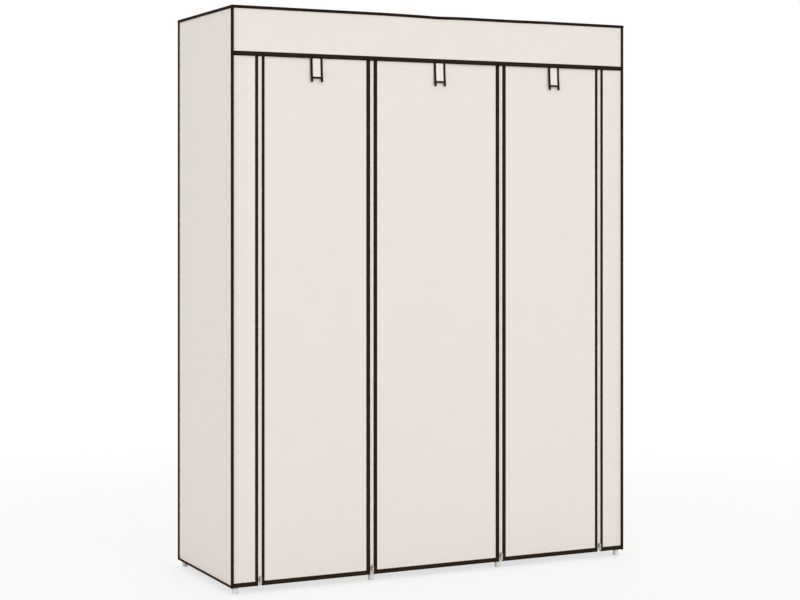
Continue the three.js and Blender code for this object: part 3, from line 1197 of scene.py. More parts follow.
@dataclass
class CoverShell:
    """The fixed part of the cover: roof, back, sides, the stiles beside the doors and the header flap."""

    plan: Plan
    trim: Trim
    cloth: Dress
    cord_radius: float = 4.6 * MM
    hem_cord_radius: float = 3.4 * MM
    cord_out: float = 0.3 * MM
    cord_forward: float = 1.0 * MM
    cord_back: float = -0.5 * MM
    cord_below: float = 1.9 * MM
    cord_past_hem: float = 1.0 * MM
    hem_cord_above: float = 1.6 * MM
    cord_pitch: float = 3 * MM
    slack: float = 1.1 * MM
    slack_span: Span = (-0.19, 0.4)
    slack_fades: Span = (0.12, 0.16)
    pinch: float = 1.5 * MM
    pinch_reach: float = 50 * MM
    dip_reach: float = 60 * MM
    roof_sag: float = 1.6 * MM
    bay_sag: float = 2.6 * MM
    roof_waves: float = 0.7 * MM
    roof_pitch: float = 15 * MM
    panel_waves: float = 1.0 * MM
    pitch: float = 9 * MM
    stile_bands: Span = (9.2 * MM, 8.2 * MM)
    stile_calm: float = 0.5
    header_band: float = 13 * MM
    header_drop: float = 0.6 * MM
    header_lean: float = 2.0 * MM
    header_root: float = 1.1 * MM
    header_tuck: float = 0.8 * MM
    header_waves: float = 0.8 * MM
    header_seam: float = 4 * MM

    def build(self) -> None:
        """Make every piece of the shell."""
        self.piping()
        self.roof()
        self.back()
        for side in (Side.LEFT, Side.RIGHT):
            self.side(side)
            self.stile(side)
        self.header()

    def dip(self, x: Array) -> Array:
        """How far the roof's front line hangs: a slack length right of the middle, and a pinch at x = 0."""
        (start, end), (fade_in, fade_out) = self.slack_span, self.slack_fades
        slack = smooth((x - start) / fade_in) * smooth((end - x) / fade_out)
        return self.slack * slack + self.pinch * np.exp(-((x / self.pinch_reach) ** 2))

    def roof(self) -> None:
        """The roof: it sags between its seams, and a little more between the bars that run under it."""
        p = self.plan
        spans = (-p.half_width, p.half_width), (-p.half_depth, p.half_depth)
        waves = Waves(11, self.roof_waves)

        def place(x: Array, y: Array) -> Array:
            """The roof at x and y."""
            drawn = edge_fade(x, spans[0], 0.2) * edge_fade(y, spans[1], 0.16)
            sag = drawn * (self.roof_sag + self.bay_sag * p.between_posts(x) + waves.at(x, y))
            front = self.dip(x) * smooth(1 - (y + p.half_depth) / self.dip_reach)
            return xyz(x, y, p.top - p.cloth / 2 - np.clip(sag, 0, None) - front)

        surface = slab(*(steps(*span, self.roof_pitch) for span in spans), place, p.cloth)
        made = fixed("roof_cloth", [(surface, self.cloth)], "cover_roof")

    def back(self) -> None:
        """The back panel."""
        p = self.plan
        reach, rear = p.half_width - p.cloth, p.half_depth - p.cloth / 2
        self.panel("back_cloth", "cover_back", (-reach, reach), 21, lambda u, out: (u, rear + out))

    def side(self, side: Side) -> None:
        """A side panel."""
        p, name, sign = self.plan, f"{side.word}_side", side.value
        span, middle = (-p.half_depth, p.half_depth), p.half_width - p.cloth / 2

        def at(u: Array, out: Array) -> tuple[Array, Array]:
            """The side's x and y."""
            return sign * (middle + out), u

        self.panel(f"{name}_cloth", f"cover_{name}", span, 31 + sign, at)

    def panel(self, name: str, node: str, span: Span, seed: int, at: Callable) -> None:
        """A hanging panel, flat but for slow waves and for the pucker beside its seams.

        Args:
            name: the piece's name.
            node: the CAD node that it stands for.
            span: where it starts and ends across.
            seed: what its waves are drawn from.
            at: gives its x and y for a place across it and how far it stands out there.
        """
        p = self.plan
        waves, pucker = Waves(seed, self.panel_waves), Pucker(seed + 100)

        def place(u: Array, z: Array) -> Array:
            """The panel at u across it and at a height."""
            out = waves.at(u, z) * edge_fade(u, span, 0.09) * edge_fade(z, (p.hem, p.sheet_top), 0.12)
            out = out + pucker.at(z, np.minimum(u - span[0], span[1] - u))
            out = out + pucker.at(u, np.minimum(z - p.hem, p.sheet_top - z))
            return xyz(*at(u, out), z)

        surface = slab(steps(*span, self.pitch), steps(p.hem, p.sheet_top, self.pitch), place, p.cloth)
        made = fixed(name, [(surface, self.cloth)], node)

    def stile(self, side: Side) -> None:
        """A stile: the fixed strip beside a door, bound along its inner edge and its hem."""
        p, name, sign = self.plan, f"{side.word}_stile", side.value
        edge, corner = sign * p.stile_edge, sign * p.half_width
        low, high = sorted((sign * (p.half_width - p.cloth), edge))

        def at(u: Array, out: Array) -> tuple[Array, Array]:
            """The stile's x and y, with calmer waves than the panels'."""
            return u, p.front - self.stile_calm * out

        self.panel(f"{name}_cloth", f"cover_{name}", (low, high), 41 + sign, at)
        inside = edge + sign * self.stile_bands[side is Side.RIGHT]
        band = self.trim.hem_band
        zs = steps(p.hem + 2 * band, p.header_bottom + band, 40 * MM)[::-1]
        outer = [(edge, z) for z in zs] + [(edge, p.hem), (corner, p.hem)]
        inner = [(inside, z) for z in zs] + [(inside, p.hem + band), (corner, p.hem + band)]
        fixed(f"{name}_binding", self.trim.front_bound(outer, inner, p))

    def header(self) -> None:
        """The header flap: sewn along the roof's front and down both ends, and free along its bound hem."""
        p = self.plan
        reach = p.half_width + self.cord_out - self.cord_radius
        root = p.front - p.cloth - self.header_root
        edge = p.top - self.cord_below - self.cord_radius
        bottom = p.header_bottom - self.header_drop
        height = edge - bottom
        waves = Waves(51, self.header_waves, shortest=0.2, longest=0.6)

        def place(x: Array, z: Array) -> Array:
            """The flap at x and a height."""
            free = smooth((edge - z) / height) * edge_fade(x, (-reach, reach), 0.08)
            seam = 1 - smooth(np.minimum(edge - z, reach - np.abs(x)) / self.header_seam)
            y = root - (self.header_lean + waves.at(x, 0 * x)) * free + self.header_tuck * seam
            return xyz(x, y, z - self.dip(x) * (z - bottom) / height)

        surface = slab(steps(-reach, reach, self.pitch), steps(bottom, edge, self.pitch), place, p.cloth)
        made = fixed("header_cloth", [(surface, self.cloth)], "header_flap")
        xs = steps(-reach, reach, 25 * MM)
        outer, inner = (place(xs, z) for z in (bottom, bottom + self.header_band))
        binding = fixed("header_binding", self.trim.bound(outer, inner, p.cloth))

    def piping(self) -> None:
        """The cord in the cover's seams: one loop round the roof, four uprights and the three lower edges."""
        p = self.plan
        x = p.half_width + self.cord_out
        back, front = p.half_depth + self.cord_back, -p.half_depth - self.cord_forward
        corners = np.array([[x, back], [-x, back], [-x, front], [x, front]])
        legs = []
        for start, end in zip(corners, np.roll(corners, -1, axis=0)):
            count = math.ceil(np.linalg.norm(end - start) / (2 * self.cord_pitch))
            legs.append(start + (end - start) * np.linspace(0, 1, count + 1)[:-1, None])
        loop = np.concatenate(legs)
        level = p.top - self.cord_below
        drop = self.dip(loop[:, 0]) * smooth((front - loop[:, 1]) / self.dip_reach + 1)
        parts = self.trim.cord(np.column_stack([loop, level - drop]), self.cord_radius, Ends.JOINED)
        for corner in corners:
            parts += self.straight_cord(Axis.Z, (p.hem - self.cord_past_hem, level), corner, self.cord_radius)
        low = p.hem + self.hem_cord_above
        for side_x in (-x, x):
            parts += self.straight_cord(Axis.Y, (front, back), (side_x, low), self.hem_cord_radius)
        parts += self.straight_cord(Axis.X, (-x, x), (back, low), self.hem_cord_radius)
        fixed("cover_piping", parts)

    def straight_cord(self, axis: Axis, ends: Span, at: Point, radius: float) -> Parts:
        """A straight length of cord.

        Args:
            axis: its axis.
            ends: where it starts and ends on that axis.
            at: the other two of its x, y and z, in order.
            radius: its radius.

        Returns:
            The cord.
        """
        run = steps(*ends, self.cord_pitch)
        path = np.insert(np.broadcast_to(at, (len(run), 2)), "XYZ".index(axis.name), run, axis=1)
        return self.trim.cord(path, radius)


# Zips

@dataclass(frozen=True)
class ZipTrack:
    """One half of a zip: its tape, which comes out from under a bound edge, and its teeth."""

    plan: Plan
    tape: Dress
    coil: Dress
    past_hem: float = 1 * MM
    tape_start: float = 0.6 * MM
    tape_reach: float = 12 * MM
    tape_thick: float = 0.5 * MM
    gap_depth: float = 0.05 * MM
    under_depth: float = 1.2 * MM
    bend: Span = (3.6 * MM, 5.4 * MM)
    pitch: float = 2.5 * MM
    teeth_rise: float = 0.85 * MM
    teeth_under_header: float = 45 * MM
    tooth: tuple[Point, ...] = (
        (-2.6 * MM, 0.5 * MM, 0.3 * MM),
        (-1.5 * MM, 0.76 * MM, 0.44 * MM),
        (0.0, 0.56 * MM, 0.46 * MM),
        (0.9 * MM, 0.32 * MM, 0.34 * MM),
    )

    def half(self, place: ZipPlace, sign: int, span: Span) -> Parts:
        """The half on one side of a zip's centre line, with its teeth between those of the other half.

        Args:
            place: which zip.
            sign: -1 for the half on its left and 1 for the half on its right.
            span: the height where it starts and ends.

        Returns:
            The tape and the teeth.
        """
        x, y = self.plan.zip_xs[place.value], self.plan.front
        start, end = self.bend
        offs = [steps(self.tape_start, start, 1.5 * MM)[:-1], steps(start, end, 0.4 * MM), [self.tape_reach]]
        heights = steps(*span, 3 * MM)

        def at(off: Array, z: Array) -> Array:
            """The tape at a distance from the zip's centre line and a height."""
            under = smooth((off - start) / (end - start))
            depth = self.gap_depth + (self.under_depth - self.gap_depth) * under
            return xyz(x + sign * off, y + depth, z)

        tape = slab(np.concatenate(offs), heights, at, self.tape_thick).along_tape(self.tape_reach)
        top = min(span[1], self.plan.header_bottom + self.teeth_under_header)
        first = math.ceil(span[0] / self.pitch) + (0.25 if sign < 0 else 0.75)
        heights = np.arange(first * self.pitch, top, self.pitch)
        front = y + self.gap_depth - self.tape_thick / 2 - self.teeth_rise
        places = xyz(x, front, heights)
        teeth = stamped(bead(self.tooth, 6), places, [-sign, 0, 0.0], [0, 1.0, 0], [0, 0, 1.0])
        return [(tape, self.tape), (teeth.outward(), self.coil)]

    def on_stiles(self) -> None:
        """The two halves that are sewn to the stiles."""
        span = (self.plan.hem - self.past_hem, self.plan.sheet_top)
        for side, place in ((Side.LEFT, ZipPlace.OUTER_LEFT), (Side.RIGHT, ZipPlace.OUTER_RIGHT)):
            fixed(f"{side.word}_stile_zip_tape", self.half(place, side.value, span))


def shield(half: float, waist: float, ends: Span, powers: Span, flare: Span) -> Array:
    """The outline of a slider's plate or of a pull's tab: a rounded rectangle that is broader below.

    Round one turn, z goes as the sine to a power. x goes as the cosine to a power, times half the width,
    which grows smoothly from the top's to the bottom's with the share of the height that lies above.

    Args:
        half: half the width at the bottom.
        waist: half the width at the top.
        ends: the bottom and the top.
        powers: the cosine's and the sine's power.
        flare: what the share of the height is multiplied by and what is then added to it.

    Returns:
        The outline in x and z.
    """
    (low, high), (factor, shift), angle = ends, flare, around(40)
    z = (low + high) / 2 + (high - low) / 2 * fuller(np.sin(angle), powers[1])
    wide = waist + (half - waist) * smooth((high - z) / (high - low) * factor + shift)
    return np.stack([wide * fuller(np.cos(angle), powers[0]), z], -1)


@dataclass
class ZipSliders:
    """The four zips' sliders and pulls, at the foot of the closed zips: one shape of each, at four places."""

    plan: Plan
    metal: Dress
    rim: float = 0.25 * MM
    face_out: float = 3 * MM
    plates: Span = (1.25 * MM, 1.1 * MM)
    narrowing: float = 1.3 * MM
    back_waist_in: float = 1.0 * MM
    neck_half: float = 0.8 * MM
    neck_sunk: float = 0.5 * MM
    neck_rise: Span = (1 * MM, 5 * MM)
    flange_in: float = 1.1 * MM
    flange_half: float = 0.35 * MM
    flange_depth: Span = (0.6 * MM, 2.3 * MM)
    flange_rise: Span = (3 * MM, 7.5 * MM)
    bar_rise: float = 11 * MM
    bar_half: float = 2.6 * MM
    bar_radius: float = 0.9 * MM
    ear_ends: Span = (2.2 * MM, 3.4 * MM)
    ear_radius: float = 2.1 * MM
    ear_sunk: float = 0.6 * MM
    ear_stem: Span = (0.5 * MM, 2 * MM)
    eye_drop: float = 2.5 * MM
    eye_half: float = 1.7 * MM
    eye_radius: float = 2.5 * MM
    bore_radius: float = 1.2 * MM
    tab_drop: float = 3 * MM
    tab_half_thick: float = 0.7 * MM
    tab_waist: float = 0.78
    stem: Span = (1.6 * MM, 0.65 * MM)
    stem_sunk: float = 2 * MM
    hole_radius: float = 1.5 * MM
    hole_rise: float = 4.2 * MM
    cutter: Span = (-4 * MM, 4 * MM)

    def build(self) -> None:
        """Make the sliders and the pulls, each on its own body."""
        first = ZipPlace.OUTER_LEFT.word
        body, tab = Box.of(f"zip_slider_{first}"), Box.of(f"zip_pull_{first}")
        slider, pull = self.slider(body, tab.y), self.pull(tab)
        for place, x in zip(ZipPlace, self.plan.zip_xs):
            for kind, shape in (("slider", slider), ("pull", pull)):
                parts = [(shape.moved(x=x), self.metal)]
                made = piece(f"{place.word}_{kind}", parts, f"zip_{kind}_{place.word}")
                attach(made, f"{place.word}_zip_{kind}")

    def slider(self, box: Box, eye: float) -> Surface:
        """A slider at x = 0: two plates, a neck between, flanges beside the teeth, and ears with a bar.

        Args:
            box: the CAD node's box.
            eye: the y of the bar.

        Returns:
            The slider.
        """
        low, back, ends = box.low.z, box.high.y, (box.low.z, box.high.z)
        half = (box.high.x - box.low.x) / 2
        waist = half - self.narrowing
        face = self.plan.front - self.plan.cloth / 2 - self.face_out
        powers, flare = (0.5, 0.55), (1.5, -0.2)
        front_outline = shield(half, waist, ends, powers, flare)
        back_outline = shield(waist, waist - self.back_waist_in, ends, powers, flare)
        inside, neck = (face + self.neck_sunk, back - self.neck_sunk), np.add(low, self.neck_rise)
        depths, rises = np.add(face, self.flange_depth), np.add(low, self.flange_rise)
        solids = [
            plate(front_outline, face, face + self.plates[0], self.rim),
            plate(back_outline, back - self.plates[1], back, self.rim),
            block(0, self.neck_half, inside, neck),
            *(block(s * (half - self.flange_in), self.flange_half, depths, rises) for s in (-1, 1)),
        ]
        bar_z = low + self.bar_rise
        at, (stem_half, stem_tall) = (0, eye, bar_z), self.ear_stem
        for s in (-1, 1):
            start, end = s * self.ear_ends[0], s * self.ear_ends[1]
            stem = (eye, face + self.ear_sunk), (bar_z - stem_tall, bar_z + stem_tall)
            solids.append(rod(Axis.X, (start, end), self.ear_radius, at, rim=0.3 * MM))
            solids.append(block((start + end) / 2, stem_half, *stem))
        solids.append(rod(Axis.X, (-self.bar_half, self.bar_half), self.bar_radius, at))
        return fused(solids)

    def pull(self, box: Box) -> Surface:
        """A pull at x = 0: an eye round the slider's bar, and a tab with a hole near its end.

        Args:
            box: its CAD node's box.

        Returns:
            The pull.
        """
        half, eye = (box.high.x - box.low.x) / 2, box.y
        bar = box.high.z - self.eye_drop
        top = bar - self.tab_drop
        outline = shield(half, self.tab_waist * half, (box.low.z, top), (0.55, 0.6), (1, 0))
        tab = plate(outline, eye - self.tab_half_thick, eye + self.tab_half_thick, self.rim)
        ring = rod(Axis.X, (-self.eye_half, self.eye_half), self.eye_radius, (0, eye, bar), rim=0.4 * MM)
        stem_half, stem_deep = self.stem
        stem = block(0, stem_half, (eye - stem_deep, eye + stem_deep), (top - self.stem_sunk, bar))
        bore = rod(Axis.X, self.cutter, self.bore_radius, (0, eye, bar))
        hole = rod(Axis.Y, self.cutter, self.hole_radius, (0, eye, box.low.z + self.hole_rise))
        return fused([ring, stem, tab], [bore, hole])


# Doors

@dataclass(frozen=True)
class Stretch:
    """One length of a door: which CAD node it stands for, its height and how finely it is stepped."""

    label: str
    node: str
    bottom: float
    top: float
    pitch: float


@dataclass
class RollDoor:
    """A door of the cover: cloth bound on three edges, with half a zip along each side."""

    plan: Plan
    trim: Trim
    cloth: Dress
    track: ZipTrack
    side: Side
    zips: tuple[ZipPlace, ZipPlace]
    bends: float = 25 * MM
    pitch: float = 9 * MM
    hang_pitch: float = 8 * MM
    curl_pitch: float = 2.5 * MM
    waves: float = 0.9 * MM
    calm_above_hem: float = 0.3
    outer_band: float = 8.2 * MM
    inner_band: float = 11.3 * MM
    right_extra: float = 1.1 * MM

    def stretches(self) -> tuple[Stretch, Stretch, Stretch]:
        """The door's three lengths, split half a bend above each of the two places where it curls."""
        p, name = self.plan, f"{self.side.word}_door"
        sheet, upper, lower = (Box.of(f"{name}_{part}") for part in ("sheet", "hem_upper", "hem_lower"))
        first = (sheet.low.z + upper.high.z) / 2 + self.bends
        second = (upper.low.z + lower.high.z) / 2 + self.bends
        return (
            Stretch("sheet", f"{name}_sheet", first, p.sheet_top, self.hang_pitch),
            Stretch("curl", f"{name}_hem_upper", second, first, self.curl_pitch),
            Stretch("hem", f"{name}_hem_lower", p.hem, second, self.curl_pitch),
        )

    def build(self) -> None:
        """Make the three stretches; the first stays with the wardrobe's fixed body and has a mesh of its own.
        """
        name = f"{self.side.word}_door"
        box = Box.of(f"{name}_sheet")
        span = (box.low.x, box.high.x)
        for i, stretch in enumerate(self.stretches()):
            cloth, trims = self.make(stretch, span)
            for made in (cloth, *trims):
                if i == 0:
                    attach(made, FIXED)
                    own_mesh(made)
                else:
                    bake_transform(made)

    def make(self, stretch: Stretch, span: Span) -> tuple[bpy.types.Object, list[bpy.types.Object]]:
        """Make one stretch.

        Args:
            stretch: which one.
            span: the door's two edges in x.

        Returns:
            The cloth, and the pieces that go with it.
        """
        p, name = self.plan, f"{self.side.word}_door_{stretch.label}"
        seed = self.zips[0].value
        waves, pucker = Waves(60 + seed, self.waves), Pucker(70 + seed)

        def place(x: Array, z: Array) -> Array:
            """The door at x and a height."""
            out = waves.at(x, z) * edge_fade(x, span, 0.08) * smooth((z - p.hem) / self.calm_above_hem)
            out = out + pucker.at(z, np.minimum(x - span[0], span[1] - x) - self.outer_band)
            out = out + pucker.at(x, z - p.hem - self.trim.hem_band)
            return xyz(x, p.front - out, z)

        zs = steps(stretch.bottom, stretch.top, stretch.pitch)
        surface = slab(steps(*span, self.pitch), zs, place, p.cloth)
        cloth = piece(f"{name}_cloth", [(surface, self.cloth)], stretch.node)
        binding = piece(f"{name}_binding", self.edging(stretch, span, zs))
        bottom = stretch.bottom - (self.track.past_hem if stretch.label == "hem" else 0)
        left, right = (self.track.half(z, sign, (bottom, stretch.top)) for z, sign in zip(self.zips, (1, -1)))
        return cloth, [binding, piece(f"{name}_zip_tape", left + right)]

    def bands(self) -> Span:
        """The widths of the binding on the door's left and right edges: broader beside the centre door."""
        outermost = (ZipPlace.OUTER_LEFT, ZipPlace.OUTER_RIGHT)
        left, right = (self.outer_band if place in outermost else self.inner_band for place in self.zips)
        return left, right + self.right_extra

    def edging(self, stretch: Stretch, span: Span, zs: Array) -> Parts:
        """The binding: down both edges, or round all three edges of the hem with mitred corners.

        Args:
            stretch: which length of the door.
            span: the door's two edges in x.
            zs: the heights of the stretch's stations, from below.

        Returns:
            The tape and its stitches.
        """
        p, band = self.plan, self.trim.hem_band
        outer, (left, right) = span, self.bands()
        inner = (span[0] + left, span[1] - right)
        if stretch.label != "hem":
            parts = []
            for edge, reach in zip(outer, inner):
                parts += self.trim.front_bound([(edge, z) for z in zs], [(reach, z) for z in zs], p)
            return parts
        down = zs[zs > p.hem + band + 1 * MM][::-1]
        along = steps(*inner, 20 * MM)[1:-1]

        def three_edges(ends: Span, bottom: float) -> list[Point]:
            """Down the left edge, along the hem and up the right edge, in x and z."""
            (a, b), up = ends, down[::-1]
            return [(a, z) for z in down] + [(x, bottom) for x in (a, *along, b)] + [(b, z) for z in up]

        return self.trim.front_bound(three_edges(outer, p.hem), three_edges(inner, p.hem + band), p)


@dataclass
class TieStrap:
    """A strap that hangs below the header and ties a rolled door: bound down both sides, with a cross bar."""

    plan: Plan
    trim: Trim
    webbing: Dress
    side: Side
    thick: float = 0.8 * MM
    edge_half: float = 4 * MM
    edge_middle: float = 15.9 * MM
    edge_thick: float = 1.5 * MM
    bar_height: float = 6.5 * MM
    bar_thick: float = 1.26 * MM
    bar_above: float = 14 * MM
    aside: float = -2 * MM
    root_depth: float = 1.2 * MM
    tuck: float = 6 * MM
    bend: float = 9 * MM
    bow: float = 1.1 * MM
    pitch: float = 2.5 * MM
    cross_pitch: float = 3 * MM

    def build(self) -> None:
        """Make the strap, which hangs below the header's hem with a slight bow."""
        name, box = self.side.word, Box.of(f"{self.side.word}_tie_strap")
        low, high = box.low, box.high
        x, y, z = box.x + self.aside, high.y - self.root_depth, high.z
        lean = math.atan2((high.y - low.y) - self.thick, high.z - low.z)
        length = (high.z - low.z) / math.cos(lean)
        down = np.array([0, -math.sin(lean), -math.cos(lean)])
        out = np.array([0, -math.cos(lean), math.sin(lean)])

        def at(u: Array, v: Array, n: Array | float = 0.0) -> Array:
            """The strap at u across it, v down it and n out from it."""
            rise = n - self.bow * np.sin(math.pi * np.clip(v / length, 0, 1))
            across, along = np.multiply.outer(u, [1.0, 0, 0]), np.multiply.outer(v, down)
            return np.array([x, y, z]) + across + along + np.multiply.outer(rise, out)

        cross, inner = length - self.bar_above, self.edge_middle
        us, vs = steps(-inner, inner, self.cross_pitch), steps(-self.tuck, cross, self.pitch)
        cloth = slab(us, vs, at, self.thick).along_tape(2 * inner, 0.5)
        edges = [self.edging(at, s * inner, -self.tuck, length) for s in (-1, 1)]
        bindings = [(surface, self.trim.binding) for surface in (*edges, self.crossbar(at, inner, cross))]
        made = piece(f"{name}_strap_webbing", [(cloth, self.webbing), *bindings], f"{name}_tie_strap")
        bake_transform(made)

    def section(self, half: float, thick: float) -> tuple[Array, Array]:
        """A flat rounded section, as places across and out: a cosine and a sine to powers below 1."""
        angle = around(16)
        return half * fuller(np.cos(angle), 0.5), thick / 2 * fuller(np.sin(angle), 0.6)

    def edging(self, at: Callable, centre: float, start: float, end: float) -> Surface:
        """A bound edge: a flat rounded section whose lower end closes in half a circle.

        Args:
            at: gives the strap's points for places across it, down it and out from it.
            centre: the middle of the edge, across the strap.
            start: where it starts.
            end: where it ends.

        Returns:
            The edge.
        """
        round_end = end - self.edge_half
        tip = round_end + self.edge_half * np.sin(np.linspace(0.25, 1.35, 5))
        vs = np.concatenate([steps(start, round_end, self.pitch), tip])
        share = np.sqrt(np.clip(1 - (np.clip(vs - round_end, 0, None) / self.edge_half) ** 2, 0.02, 1))
        wide, tall = self.section(self.edge_half, self.edge_thick)
        u, n = centre + np.outer(share, wide), np.outer(0.4 + 0.6 * share, tall)
        return skin(at(u, np.broadcast_to(vs[:, None], u.shape), n), vs, np.linspace(0, 1, 17))

    def crossbar(self, at: Callable, reach: float, middle: float) -> Surface:
        """The bar across the strap, a rounded section from one bound edge to the other.

        Args:
            at: gives the strap's points for places across it, down it and out from it.
            reach: how far it goes to each side.
            middle: how far down the strap it lies.

        Returns:
            The bar.
        """
        tall, out = self.section(self.bar_height / 2, self.bar_thick)
        u, v, n = np.broadcast_arrays(steps(-reach, reach, self.cross_pitch)[:, None], middle + tall, out)
        return skin(at(u, v, n), u[:, 0], np.linspace(0, 1, 17))


# Frame and shelves

@dataclass
class TubeFrame:
    """Painted steel tubes, the plastic joints that hold them, the rod clips and the feet."""

    plan: Plan
    steel: Dress
    plastic: Dress
    wall: float = 0.6 * MM
    fit: float = 0.1 * MM
    inset: float = 10 * MM
    collar: float = 22 * MM
    socket: float = 34 * MM
    lip: float = 0.7 * MM
    lip_width: float = 4 * MM
    lip_rim: float = 0.3 * MM
    mouth_rim: float = 0.8 * MM
    bore_overlap: float = 0.2 * MM
    cap_wall: float = 4 * MM
    top_sleeve: Span = (-30 * MM, 15 * MM)
    bottom_sleeve: Span = (-22 * MM, 22 * MM)
    shelf_sleeve: Span = (-15 * MM, 15 * MM)
    rod_drop: float = 40 * MM
    grip_half: float = 13 * MM
    grip_wall: float = 2.5 * MM
    ring_half: float = 12 * MM
    ring_wall: float = 3 * MM
    neck_radius: float = 6 * MM
    neck_overlap: float = 0.5 * MM
    web_half: float = 1.5 * MM
    web_reach: float = 11 * MM
    web_ends: Span = (4 * MM, -6 * MM)
    clip_cutter: float = 20 * MM
    foot_round: float = 1.2 * MM
    foot_ribs: Span = (8, 13)
    rib_steps: tuple[float, ...] = (0, 0.6, 1.4, 2)
    rib_rises: tuple[float, ...] = (0, 0.25, 0.25, 0)
    foot_fit: float = 0.25 * MM
    foot_rim: float = 0.3 * MM
    foot_chamfer: float = 0.15 * MM
    foot_floor: float = 6 * MM

    def build(self) -> None:
        """Make the frame from the feet up."""
        for row in Row:
            for i in (1, 2, 3, 4):
                self.post(f"{row.word}_post_{i}")
                self.foot(f"{row.word}_foot_{i}")
        self.rails()
        self.top_bars()
        self.rods()
        self.joints()

    def post(self, node: str) -> None:
        """An upright."""
        box = Box.of(node)
        tube = pipe(Axis.Z, (box.low.z, box.high.z), self.plan.tube, self.wall, (box.x, box.y, 0))
        fixed(f"{node}_tube", [(tube, self.steel)], node)

    def foot(self, node: str) -> None:
        """A foot cap: a cup with a rounded lower rim, two shallow ribs and a socket for the post."""
        box = Box.of(node)
        radius, tall = (box.high.x - box.low.x) / 2, box.high.z - box.low.z
        turn = np.linspace(0, math.pi / 2, 5)
        bottom = radius - self.foot_round + self.foot_round * np.sin(turn)
        rib_zs = np.add.outer(self.foot_ribs, self.rib_steps).ravel() * MM
        rib_rs = radius + np.array(self.rib_rises * len(self.foot_ribs)) * MM
        bore, rim = self.plan.tube + self.foot_fit, self.foot_rim
        radii = [*bottom, *rib_rs, radius, radius - rim, bore + self.foot_chamfer, bore, bore]
        rises = self.foot_round * (1 - np.cos(turn))
        heights = [*rises, *rib_zs, tall - rim, tall, tall, tall - rim, self.foot_floor]
        fixed(f"{node}_cap", [(revolved(radii, heights, 48).moved(box.x, box.y), self.plastic)], node)

    def run(self, row: Row, level: float, xs: Sequence[float]) -> list[Surface]:
        """The tubes of a rail, one between each two posts, with their ends inside the joints.

        Args:
            row: front or rear.
            level: their height.
            xs: where the posts stand.

        Returns:
            The tubes.
        """
        at = (0, -row.value * self.plan.post_y, level)
        ends = [(a + self.inset, b - self.inset) for a, b in zip(xs, xs[1:])]
        return [pipe(Axis.X, span, self.plan.tube, self.wall, at) for span in ends]

    def cross(self, level: float, xs: Sequence[float]) -> list[Surface]:
        """The bars from front to back at some posts, with their ends inside the joints."""
        reach = abs(self.plan.post_y) - self.inset
        return [pipe(Axis.Y, (-reach, reach), self.plan.tube, self.wall, (x, 0, level)) for x in xs]

    def tubes(self, name: str, tubes: list[Surface], node: str) -> None:
        """Some tubes as one piece that stands for a node."""
        fixed(name, [(joined(tubes), self.steel)], node)

    def rails(self) -> None:
        """The rails along the front and the back, the bottom bars and the shelves' rings."""
        p = self.plan
        for row in Row:
            name = f"top_{row.word}_rail"
            self.tubes(name, self.run(row, p.top_level, p.post_xs), f"{name}_run")
        front, rear = (self.run(row, p.bottom_level, p.post_xs) for row in Row)
        rear += self.cross(p.bottom_level, p.post_xs)
        self.tubes("bottom_front_rail", front, "bottom_front_rail_run")
        self.tubes("bottom_rear_rail_and_bars", rear, "bottom_rear_frame")
        for i, level in enumerate(p.shelf_levels, 1):
            bay = level, p.post_xs[:2]
            ring = self.run(Row.FRONT, *bay) + self.run(Row.REAR, *bay) + self.cross(*bay)
            self.tubes(f"shelf_{i}_ring", ring, f"shelf_frame_{i}")

    def top_bars(self) -> None:
        """The four top bars, with a clip for the hanging rods on the last three."""
        p = self.plan
        rod_sides = ((), (1,), (-1, 1), (-1,))
        for i, (x, sides) in enumerate(zip(p.post_xs, rod_sides), 1):
            node = f"top_depth_bar_{i}"
            box = Box.of(node)
            bar = pipe(Axis.Y, (box.low.y, box.high.y), p.tube, self.wall, (x, 0, p.top_level))
            fixed(f"top_bar_{i}", [(bar, self.steel)], node)
            if sides:
                fixed(f"rod_clip_{i}", [(self.clip(sides).moved(x, 0, p.top_level), self.plastic)])

    def clip(self, sides: Sequence[int]) -> Surface:
        """A rod clip: a grip round the bar, a neck, and a ring for the rods that end there.

        Args:
            sides: -1 or 1 for each rod, by the side that it comes from.

        Returns:
            The clip.
        """
        tube, drop, low = self.plan.tube, self.rod_drop, (0, 0, -self.rod_drop)
        grip, ring, web, cut = self.grip_half, self.ring_half, self.web_reach, self.clip_cutter
        solids = [
            rod(Axis.Y, (-grip, grip), tube + self.grip_wall, rim=self.mouth_rim),
            rod(Axis.Z, (-drop, -tube - self.neck_overlap), self.neck_radius),
            block(0, self.web_half, (-web, web), (self.web_ends[0] - drop, self.web_ends[1])),
            rod(Axis.X, (-ring, ring), tube + self.ring_wall, low, rim=self.mouth_rim),
        ]
        bores = [rod(Axis.Y, (-cut, cut), tube + self.fit)]
        bores += [rod(Axis.X, (s * self.web_half, s * cut), tube + self.fit, low) for s in sides]
        return fused(solids, bores)

    def rods(self) -> None:
        """The two hanging rods."""
        for side in (Side.CENTRE, Side.RIGHT):
            node = f"hanging_rod_{side.word}"
            box = Box.of(node)
            tube = pipe(Axis.X, (box.low.x, box.high.x), self.plan.tube, self.wall, (0, 0, box.z))
            fixed(f"{side.word}_hanging_rod", [(tube, self.steel)], node)

    def joint(self, ways: Sequence[int], sleeve: Span, socket: float, capped: bool) -> Surface:
        """A joint at the origin, for a front post: a sleeve along z, collars along x and a socket towards +y.

        Args:
            ways: which ways it has a collar, -1 for -x and 1 for +x.
            sleeve: how far down and up the sleeve reaches.
            socket: how far the socket reaches.
            capped: whether the sleeve is closed at its top.

        Returns:
            The joint, with a raised lip round every mouth.
        """
        p, (low, high), rim = self.plan, sleeve, self.mouth_rim

